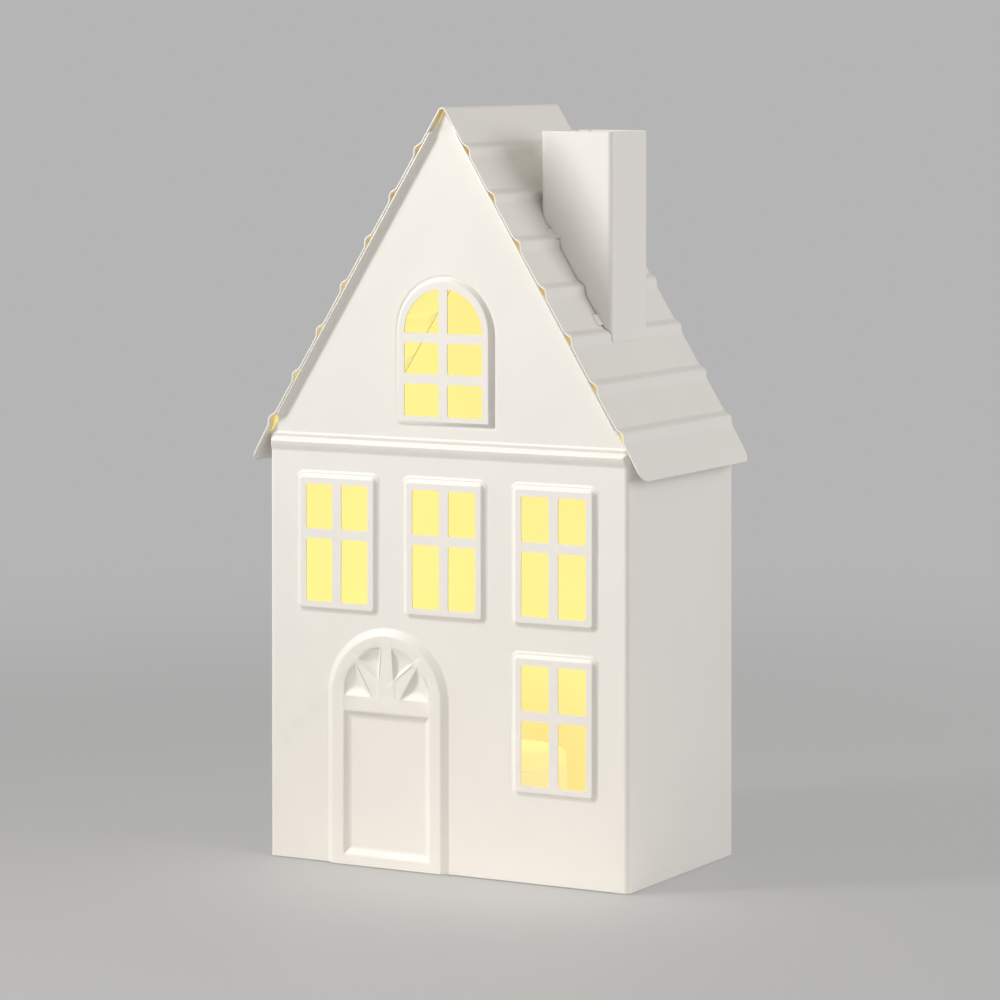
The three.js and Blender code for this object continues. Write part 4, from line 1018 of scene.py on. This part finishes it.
def wall_lines():
    lines = []
    for u in wall_line.bend_lines(BEND_STEPS):
        lines.append([(u - WALL_MIDDLE, 0.0), (u - WALL_MIDDLE, WALL_TOP)])
    for cx, sill in WINDOW_SILLS:
        for offset in moulding_offsets(WINDOW_LINES_BEFORE, WINDOW_SIDE):
            side = grown(window_rectangle(cx, sill), WINDOW_SIDE - offset)
            lines.append(closed(rectangle_loop(*side)))
    for offset in moulding_offsets(ARCH_LINES_BEFORE, ARCH_SIDE):
        bottom = ARCH_SILL - ARCH_SIDE + offset
        lines.append(closed(arch_line(0, ARCH_HALF + ARCH_SIDE - offset, bottom, ARCH_SPRING)))
    for offset in profile_offsets(DOOR_SIDE, DOOR_ROUND):
        lines.append(arch_line(DOOR_CENTRE, DOOR_HALF + DOOR_SIDE - offset, 0.0, DOOR_SPRING))
    for offset in profile_offsets(PANEL_SIDE, PANEL_ROUND):
        lines.append(closed(rectangle_loop(*grown(panel_rectangle(), -offset), steps=4)))
    ends = [HALF_WIDTH - BEAD_INSET - offset for offset in profile_offsets(BEAD_ENDS)]
    stops = sorted([-x for x in ends] + list(np.linspace(-SIDE_START, SIDE_START, BEAD_STOPS)) + ends)
    low, high = BEAD_HEIGHTS
    for z in np.linspace(low - BEAD_LINES_UNDER, high + BEAD_LINES_OVER, BEAD_LINES):
        lines.append([(float(x), float(z)) for x in stops if abs(x) <= SIDE_START])
    for side in (-1, 1):
        lines += gable_fold_lines(side, LIP_LINE, LIP_BEND, LIP_END)
        for k in range(TOP_FOLD_STEPS + 1):
            z = FOLD_START + FOLD_LENGTH * k / TOP_FOLD_STEPS
            lines.append([(side * (SIDE_START + TOP_FOLD_INSET), z), (side * (SIDE_END - TOP_FOLD_INSET), z)])
    for polygon, _ in PETALS:
        for side in (-1, 1):
            lines.append(closed([(DOOR_CENTRE + side * x, FANLIGHT_FOOT + z) for x, z in polygon]))
    return [shifted(line) for line in lines]


def below_slopes(specks):
    return [p for p in specks if on_slope(*p)[1] < -SPECK_MARGIN]


def wall_specks():
    reach = wall_line.length / 2
    gable_reach = HALF_WIDTH - GABLE_SPECKS_INSET
    specks = grid_specks((-reach, 0), (reach, WALL_TOP), WALL_SPECKS)
    specks += below_slopes(grid_specks((-gable_reach, WALL_TOP), (gable_reach, PEAK), WALL_SPECKS))
    low = (DOOR_CENTRE - FANLIGHT_REACH, FANLIGHT_FOOT)
    high = (DOOR_CENTRE + FANLIGHT_REACH, FANLIGHT_FOOT + FANLIGHT_RISE)
    fanlight = grid_specks(low, high, FANLIGHT_SPECKS)
    places = np.array(fanlight)
    deep = petal_depth(places[:, 0], places[:, 1]) > 0
    return shifted(specks + [speck for speck, is_deep in zip(fanlight, deep) if is_deep])


walls = bent_sheet(
    "front_gable_and_side_walls",
    flat_pattern(wall_outline(), pane_holes(), wall_lines(), wall_specks()),
    place_wall,
    [white_coat, lit_walls],
    lambda p: (p[:, 1] > FRONT_FACE - 1) & (p[:, 1] < BACK_PANEL_FACE),
)
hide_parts("wall_shell")
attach(walls, "house")


# Back wall and gable

BACK_BEND = SHEET + 1.0
BACK_LINE = FLANGE_OUT - BACK_BEND
BACK_END = BACK_LINE + BACK_BEND * math.pi / 2 + BACK_FLANGE + SHEET - BACK_BEND
BACK_GABLE_FROM = SHOULDER_HEIGHT - 10


def place_back(u, v):
    """From the flat pattern (across as seen from behind, up) to the outer face."""
    x = -u
    here = v > BACK_GABLE_FROM
    fold_x, fold_z, across, folded = gable_fold(x, v, BACK_LINE, BACK_BEND, here)
    calm = smooth(v, 0, CALM_FOOT) * smooth(-on_slope(x, v)[1], *CALM_SLOPE)
    y = BACK_PANEL_FACE - across + waves(u + BACK_WAVES_AT, v) * calm
    return np.stack([np.where(folded, fold_x, x), y, np.where(folded, fold_z, v)], axis=1)


def back_outline():
    edge_along = (BACK_PANEL_HALF + GABLE_DROP * SIN) / COS
    half = [
        (BACK_PANEL_HALF, 0.0),
        from_slope(1, edge_along, -GABLE_DROP),
        from_slope(1, FLANGE_FOOT, -GABLE_DROP),
        from_slope(1, FLANGE_FOOT - FLANGE_BLEND, BACK_END),
        from_slope(1, FLANGE_TOP + FLANGE_TAPER, BACK_END),
        from_slope(1, FLANGE_TOP, -GABLE_DROP),
    ]
    return half + [(0.0, PEAK - GABLE_DROP / COS)] + [(-x, z) for x, z in reversed(half)]


back_lines = []
for side in (-1, 1):
    back_lines += gable_fold_lines(side, BACK_LINE, BACK_BEND, BACK_END)
back_specks = grid_specks((-BACK_SPECKS_REACH, 0), (BACK_SPECKS_REACH, PEAK), SPECKS)
back_wall = bent_sheet(
    "back_wall_and_gable",
    flat_pattern(back_outline(), [], back_lines, below_slopes(back_specks)),
    place_back,
    [white_coat, lit_walls],
    lambda p: p[:, 2] > 0,
)
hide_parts("back_panel")
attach(back_wall, "house")


# Roof: one sheet over the ridge

RIDGE_ARC = RIDGE_RADIUS * PITCH
RIDGE_TANGENT = RIDGE_RADIUS * math.tan(PITCH)
ROOF_HALF = RIDGE_ARC + SLOPE_LENGTH - RIDGE_TANGENT


def roof_pattern_at(along):
    """Distance from the ridge on the flat pattern, for a distance down the slope."""
    return RIDGE_ARC + along - RIDGE_TANGENT


SLOT_ROWS = (CHIMNEY_Y[0] - TAB_REACH + SHEET / 2, CHIMNEY_Y[1] + TAB_REACH - SHEET / 2)
SLOT_MIDDLES = [(roof_pattern_at(place), y) for place in TAB_PLACES for y in SLOT_ROWS]


def slot_rim(u, v):
    """The punch leaves the sheet a little raised round a slot."""
    rise = np.zeros_like(u)
    for middle in SLOT_MIDDLES:
        inside = inside_rectangle(u, v, middle, SLOT_HALF, SLOT_HALF[1] - SLOT_FLAT)
        rise += RIM_RISE * (1 - smooth(-inside, RIM_START, RIM_WIDTH))
    return rise


def place_roof(u, v):
    """From the flat pattern (over the ridge from left to right, to the back) to the outer face."""
    side = np.where(u < 0, -1.0, 1.0)
    distance = np.abs(u)
    along = RIDGE_TANGENT + distance - RIDGE_ARC
    flutter = ROOF_WAVE_SHARE * waves(v, u + ROOF_WAVES_AT) * smooth(along, *ROOF_CALM)
    x, z = from_slope(side, along, rib_rise(along) + flutter + slot_rim(u, v))
    angle = distance / RIDGE_RADIUS
    on_ridge = distance < RIDGE_ARC
    x = np.where(on_ridge, side * RIDGE_RADIUS * np.sin(angle), x)
    z = np.where(on_ridge, RIDGE_HEIGHT - RIDGE_RADIUS * (1 - np.cos(angle)), z)
    return np.stack([x, v, z], axis=1)


def roof_slots(margin=0.0):
    """The slots for the chimney's tabs, or loops at a margin outside them."""
    half = (SLOT_HALF[0] + margin, SLOT_HALF[1] + margin)
    return [rectangle_loop(middle, half, half[1] - SLOT_FLAT, steps=6) for middle in SLOT_MIDDLES]


def roof_lines():
    """Lines from the front to the back: over the ridge, over each rib, and near the eaves."""
    stops = list(np.linspace(-RIDGE_ARC, RIDGE_ARC, RIDGE_LINES))
    steps = range(-RIB_STEPS, RIB_STEPS + 1)
    for i in range(RIB_COUNT):
        middle = roof_pattern_at(FIRST_RIB + i * RIB_PITCH)
        stops += [s * (middle + RIB_HALF * k / RIB_STEPS) for k in steps for s in (-1, 1)]
    stops += [s * (ROOF_HALF - EAVE_LINE_SPACING * k) for k in range(EAVE_LINES, 0, -1) for s in (-1, 1)]
    rows = np.linspace(-BACK_FACE, BACK_FACE, ROOF_ROWS)
    lines = [[(float(u), float(v)) for v in rows] for u in stops if abs(u) < ROOF_HALF]
    for share in (0.2, 0.4, 0.6, 0.8, 1.0):
        lines += [closed(loop) for loop in roof_slots(RIM_WIDTH * share)]
    return lines


roof_outline = rectangle_loop((0, 0), (ROOF_HALF, BACK_FACE - EDGE_BULGE), EAVE_CORNER, steps=10)
roof_specks = grid_specks((-ROOF_HALF, -ROOF_SPECKS_REACH), (ROOF_HALF, ROOF_SPECKS_REACH), SPECKS)
roof = bent_sheet(
    "ribbed_roof",
    flat_pattern(roof_outline, roof_slots(), roof_lines(), roof_specks),
    place_roof,
    [white_coat, lit_roof],
    lambda p: (np.abs(p[:, 0]) < HALF_WIDTH) & (p[:, 1] > FRONT_FACE) & (p[:, 1] < BACK_PANEL_FACE),
)
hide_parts("roof_sheet")
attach(roof, "house")


# Chimney: one sheet folded to a square tube

lap_line = CHIMNEY_Y[1] - SHEET - SHEET_GAP
chimney_line = BentLine(
    [
        (CHIMNEY_X[0] + CHIMNEY_LAP, lap_line),
        (CHIMNEY_X[0], lap_line),
        (CHIMNEY_X[0], CHIMNEY_Y[0]),
        (CHIMNEY_X[1], CHIMNEY_Y[0]),
        (CHIMNEY_X[1], CHIMNEY_Y[1]),
        (CHIMNEY_X[0] + CHIMNEY_SEAM, CHIMNEY_Y[1]),
    ],
    CHIMNEY_BEND,
)

# Flat faces and bends take turns along that line: these are the faces to the front and to the back
CHIMNEY_FRONT_RUN = 4
CHIMNEY_BACK_RUN = 8

TAB_RISE = SHEET_GAP + SHEET + TAB_BEND
TAB_TURN = SHEET + TAB_INNER_TURN
TAB_FLAT = TAB_REACH - TAB_BEND - TAB_TURN
TAB_LENGTH = (TAB_BEND + TAB_TURN) * math.pi / 2 + TAB_FLAT + TAB_THROUGH


def foot_height(x):
    """Height of the chimney's foot, a gap above the ribbed roof."""
    low, high = np.zeros_like(x), np.full_like(x, PEAK + 5)
    for _ in range(FOOT_ROUNDS):
        z = (low + high) / 2
        along, out = on_slope(x, z)
        above = out > SHEET_GAP + rib_rise(along)
        high = np.where(above, z, high)
        low = np.where(above, low, z)
    return (low + high) / 2


def place_chimney(u, v):
    """From the flat pattern (round the chimney, up) to the outer face, with the tabs bent out and down."""
    points, normals = chimney_line.at(u)
    x, z = points[:, 0].copy(), v.copy()
    along, out = on_slope(x, z)
    rise = rib_rise(along)
    beyond = TAB_RISE + rise - out
    near = np.minimum(*[np.abs(along - place) for place in TAB_PLACES])
    flat_face = np.abs(normals[:, 1]) > 0.999
    on_tab = flat_face & (near < TAB_HALF + TAB_NOTCH / 2) & (beyond > 0)
    first, forward = fold_over(beyond, TAB_BEND)
    past = beyond - TAB_BEND * math.pi / 2 - TAB_FLAT
    ahead, down = fold_over(past, TAB_TURN)
    forward = np.where(past > 0, TAB_BEND + TAB_FLAT + ahead, forward)
    new_out = TAB_RISE + rise - np.where(past > 0, TAB_BEND + down, first)
    tab_x, tab_z = from_slope(1, along, new_out)
    x = np.where(on_tab, tab_x, x)
    z = np.where(on_tab, tab_z, z)
    y = points[:, 1] + np.where(on_tab, normals[:, 1] * forward, 0)
    return np.stack([x, y, z], axis=1)


def chimney_faces():
    """Where the front and back faces begin on the flat pattern and in x, and which way x runs there."""
    faces = []
    for run, hand in ((CHIMNEY_FRONT_RUN, 1), (CHIMNEY_BACK_RUN, -1)):
        start, _, first_point = chimney_line.runs[run][:3]
        faces.append((start, first_point[0], hand))
    return faces


def on_tab_pattern(face, along, out):
    """Where a point of a tab lies on the flat pattern, out being its distance out of the ribbed roof."""
    start, x_start, hand = face
    x, z = from_slope(1, along, out + float(rib_rise(np.array([along]))[0]))
    return (start + hand * (x - x_start), z)


def with_tab(foot, face, place):
    """The foot's outline with one tab let down from it, between two short notches."""
    notch = TAB_HALF + TAB_NOTCH
    notch_top = TAB_RISE + NOTCH_RISE
    end = TAB_RISE - TAB_LENGTH
    corners = [
        (notch, SHEET_GAP),
        (notch, notch_top),
        (TAB_HALF, notch_top),
        (TAB_HALF, end + TAB_CORNER),
        (TAB_HALF - TAB_CORNER_CUT, end + TAB_CORNER_CUT),
        (TAB_HALF - TAB_CORNER, end),
    ]
    tab = [on_tab_pattern(face, place - reach, out) for reach, out in corners]
    tab += [on_tab_pattern(face, place + reach, out) for reach, out in reversed(corners)]
    _, _, hand = face
    if hand < 0:
        tab.reverse()
    before = [p for p in foot if p[0] < tab[0][0]]
    after = [p for p in foot if p[0] > tab[-1][0]]
    return before + tab + after


def chimney_outline():
    length = chimney_line.length
    stops = chimney_line.bend_lines(CHIMNEY_BEND_STEPS) + list(np.arange(0, length, FOOT_SPACING))
    foot = []
    for u in sorted(stops + [length]):
        point = chimney_line.at(np.array([u]))[0][0]
        foot.append((float(u), float(foot_height(np.array([point[0]]))[0])))
    for face in chimney_faces():
        for place in TAB_PLACES:
            foot = with_tab(foot, face, place)
    return foot + [(length, CHIMNEY_TOP), (0.0, CHIMNEY_TOP)]


def chimney_lines():
    """Lines up the chimney's bends, and across each tab at its two bends."""
    lines = [[(u, CHIMNEY_BELOW), (u, CHIMNEY_TOP)] for u in chimney_line.bend_lines(CHIMNEY_BEND_STEPS)]
    arc_one = TAB_BEND * math.pi / 2
    arc_two = TAB_TURN * math.pi / 2
    stops = [arc_one * k / TAB_OUT_STEPS for k in range(TAB_OUT_STEPS + 1)]
    stops += [arc_one + TAB_FLAT + arc_two * k / TAB_DOWN_STEPS for k in range(TAB_DOWN_STEPS + 1)]
    for face in chimney_faces():
        for place in TAB_PLACES:
            for stop in stops:
                across = np.linspace(place - TAB_HALF, place + TAB_HALF, TAB_STOPS)
                lines.append([on_tab_pattern(face, float(along), TAB_RISE - stop) for along in across])
    return lines


chimney_end = (chimney_line.length, CHIMNEY_TOP)
chimney_specks = grid_specks((0, CHIMNEY_SPECKS_FROM), chimney_end, CHIMNEY_SPECKS)
chimney = bent_sheet(
    "folded_chimney",
    flat_pattern(chimney_outline(), [], chimney_lines(), chimney_specks),
    place_chimney,
    [white_coat],
)
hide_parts("chimney")
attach(chimney, "house")


# Frosted cap of the light unit


def turned_piece(name, profile, centre, material, sides=128):
    """A closed profile of radius and height turned about an upright axis."""
    points, faces, rings = [], [], []
    for radius, height in profile:
        if radius < 1e-6:
            rings.append([len(points)])
            points.append((centre[0], centre[1], height))
            continue
        rings.append(list(range(len(points), len(points) + sides)))
        for k in range(sides):
            angle = 2 * math.pi * k / sides
            x = centre[0] + radius * math.cos(angle)
            y = centre[1] + radius * math.sin(angle)
            points.append((x, y, height))
    for low, high in zip(rings, rings[1:]):
        for k in range(sides):
            steps = ((low, k), (low, k + 1), (high, k + 1), (high, k))
            corners = [ring[step % len(ring)] for ring, step in steps]
            faces.append(list(dict.fromkeys(corners)))
    return new_piece(name, points, faces, [material])


cap_low, cap_high = (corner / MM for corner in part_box("lamp_cap"))
cap_middle = ((cap_low.x + cap_high.x) / 2, (cap_low.y + cap_high.y) / 2)
CAP_RADIUS = (cap_high.x - cap_low.x) / 2
CAP_TOP = cap_high.z
CAP_HEIGHT = 5.2
CAP_FOOT = CAP_TOP - CAP_HEIGHT
CAP_SHOULDER = 3.7
CAP_WALL = 1.2
CAP_BEVEL = 0.15
HOUSING_WALL = 1.4
CAP_FIT = 0.25
SPIGOT = CAP_RADIUS - HOUSING_WALL - CAP_FIT


def cap_profile():
    """From the middle of the cap's underside out over its spigot, up its side and in to the middle again."""
    quarter = math.pi / 2
    middle = (CAP_RADIUS - CAP_SHOULDER, CAP_TOP - CAP_SHOULDER)
    shoulder = arc_points(middle, CAP_SHOULDER, 0, quarter, steps=12)
    inner = CAP_SHOULDER - CAP_WALL
    middle = (SPIGOT - CAP_WALL - inner, CAP_TOP - CAP_WALL - inner)
    hollow = arc_points(middle, inner, quarter, 0, steps=8)
    outer = [(SPIGOT - CAP_WALL, cap_low.z), (SPIGOT, cap_low.z), (SPIGOT, CAP_FOOT)]
    outer += [(CAP_RADIUS - CAP_BEVEL, CAP_FOOT), (CAP_RADIUS, CAP_FOOT + CAP_BEVEL)]
    return [(0, CAP_TOP - CAP_WALL)] + hollow + outer + shoulder + [(0, CAP_TOP)]


cap = turned_piece("frosted_cap", cap_profile(), cap_middle, lit_cap)
cap.data.set_sharp_from_angle(angle=math.radians(40))
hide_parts("lamp_cap")
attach(cap, "house")


# CAD pieces that keep their shape take their finish here

finishes = [
    (lit_floor, ["floor_plate"]),
    (lit_mould, ["lamp_housing"]),
    (white_mould, ["battery_tray", "battery_cover"]),
    (nickel_spring, ["contact_bridge", "contact_positive", "contact_negative"]),
    (board_mask, ["circuit_board"]),
    (diode_clear, ["led"]),
    (black_mould, ["timer_chip", "switch_body", "switch_knob"]),
    (resistor_coat, ["resistor"]),
    (red_sleeve, ["switch_lead_red"]),
    (black_sleeve, ["switch_lead_black"]),
    (cell_film, ["battery_cell_1", "battery_cell_2"]),
    (zinc_screw, ["lamp_screw_1", "lamp_screw_2", "board_screw_1", "board_screw_2"]),
]
for material, names in finishes:
    for name in names:
        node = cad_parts[name]
        node.data.materials.clear()
        node.data.materials.append(material)


# Floor, light and camera

BACKDROP = "#B5B5B5"
FLOOR_REACH = 12.0
FLOOR_NEAR = 0.3
FLOOR_FAR = 1.0
FLOOR_EVEN = 0.68
FLOOR_GLOSS = 1.16
AIR_AT_HORIZON = 0.86
AIR_OVERHEAD = 0.26


def straight_rays(material):
    """1 for rays from the camera, and for those seen in a reflection or through something clear."""
    rays = add(material, "LightPath").outputs
    sockets = {0: rays["Is Camera Ray"], 1: rays["Is Glossy Ray"]}
    either = add(material, "Math", sockets, operation="ADD").outputs[0]
    sockets = {0: either, 1: rays["Is Transmission Ray"]}
    return add(material, "Math", sockets, operation="ADD", use_clamp=True).outputs[0]


def floor_paper():
    """Grey seamless paper with a soft sheen. Far from the house the camera sees it in the backdrop's even
    grey; near it, with the shadow and the light of the lamps."""
    material, where = new_finish("seamless_grey_paper")
    seen = add(material, "Emission", {"Color": colour(BACKDROP), "Strength": 1.0}).outputs[0]
    matt = add(material, "BsdfDiffuse", {"Color": colour("#B0B0B0"), "Roughness": 0.0}).outputs[0]
    sheen = add(material, "BsdfGlossy", {"Color": colour("#FFFFFF"), "Roughness": 0.42}).outputs[0]
    fresnel = add(material, "Fresnel", {"IOR": FLOOR_GLOSS}).outputs["Fac"]
    paper = add(material, "MixShader", {0: fresnel, 1: matt, 2: sheen}).outputs[0]
    distance = add(material, "VectorMath", {0: where}, operation="LENGTH").outputs["Value"]
    sockets = {"Value": distance, "From Min": FLOOR_NEAR, "From Max": FLOOR_FAR, "To Min": FLOOR_EVEN}
    even = add(material, "MapRange", sockets, interpolation_type="SMOOTHSTEP").outputs["Result"]
    shown = add(material, "MixShader", {0: even, 1: paper, 2: seen}).outputs[0]
    surface = add(material, "MixShader", {0: straight_rays(material), 1: matt, 2: shown}).outputs[0]
    add(material, "OutputMaterial", {"Surface": surface})
    return material


def stage_floor():
    reach = FLOOR_REACH / MM
    points = [(-reach, -reach, 0), (reach, -reach, 0), (reach, reach, 0), (-reach, reach, 0)]
    floor = new_piece("floor", points, [(0, 1, 2, 3)], [floor_paper()])
    return floor


def shine_only_on(lamp, piece):
    """Link a lamp to one piece, so that it lights nothing else."""
    lit = bpy.data.collections.new(lamp.name + "_lights")
    lit.objects.link(piece)
    lamp.light_linking.receiver_collection = lit


def studio_air():
    """The even light of a pale studio; the camera and reflections see the grey backdrop in it."""
    world = bpy.data.worlds.new("studio")
    bpy.context.scene.world = world
    world.use_nodes = True
    world.node_tree.nodes.clear()
    up = add(world, "SeparateXYZ", {"Vector": add(world, "TexCoord").outputs["Generated"]}).outputs["Z"]
    sockets = {"Value": up, "To Min": AIR_AT_HORIZON, "To Max": AIR_OVERHEAD}
    level = add(world, "MapRange", sockets).outputs["Result"]
    sockets = {MIX_SHARE: up, MIX_FIRST: colour("#FCFDFF"), MIX_SECOND: colour("#FFF4E4")}
    tint = add(world, "Mix", sockets, data_type="RGBA").outputs[MIX_RESULT]
    soft = add(world, "Background", {"Color": tint, "Strength": level}).outputs[0]
    grey = add(world, "Background", {"Color": colour(BACKDROP), "Strength": 1.0}).outputs[0]
    surface = add(world, "MixShader", {0: straight_rays(world), 1: soft, 2: grey}).outputs[0]
    add(world, "OutputWorld", {"Surface": surface})


def soft_lamp(name, place, target, size, watts, tint):
    """A rectangular lamp behind a diffuser, turned to its target, out of the camera's sight."""
    lamp = bpy.data.lights.new(name, "AREA")
    lamp.shape = "RECTANGLE"
    lamp.size, lamp.size_y = size
    lamp.energy = watts
    lamp.color = colour(tint)[:3]
    made = bpy.data.objects.new(name, lamp)
    made.location = place
    made.rotation_euler = (Vector(target) - Vector(place)).to_track_quat("-Z", "Y").to_euler()
    made.visible_camera = False
    bpy.context.scene.collection.objects.link(made)
    return made


def picture_camera():
    """A level long lens, turned to the right of the front, with the frame shifted down to the house."""
    lens = bpy.data.cameras.new("picture")
    lens.sensor_width = 36.0
    lens.lens = 151.19
    lens.shift_y = -0.4556
    lens.clip_end = 100.0
    camera = bpy.data.objects.new("picture", lens)
    camera.location = (0.82685, -1.4936, 0.32994)
    camera.rotation_euler = (math.pi / 2, 0, math.radians(28.97))
    bpy.context.scene.collection.objects.link(camera)
    bpy.context.scene.camera = camera


floor = stage_floor()
studio_air()
soft_lamp("key", (-0.6, -0.65, 0.73), (0.28, -1.08, 0.54), (0.5, 0.5), 21.1, "#FFFDF9")
soft_lamp("fill", (1.5, 0.5, 0.56), (0, 0, 0.15), (1.0, 1.0), 8.6, "#FBFCFF")
doorstep = soft_lamp("doorstep", (0.01, -0.05, 0.08), (0.01, -0.06, 0.0), (0.17, 0.02), 0.17, "#FFEEDC")
doorstep.visible_glossy = False
shine_only_on(doorstep, floor)
picture_camera()
bpy.context.scene.view_settings.view_transform = "Standard"
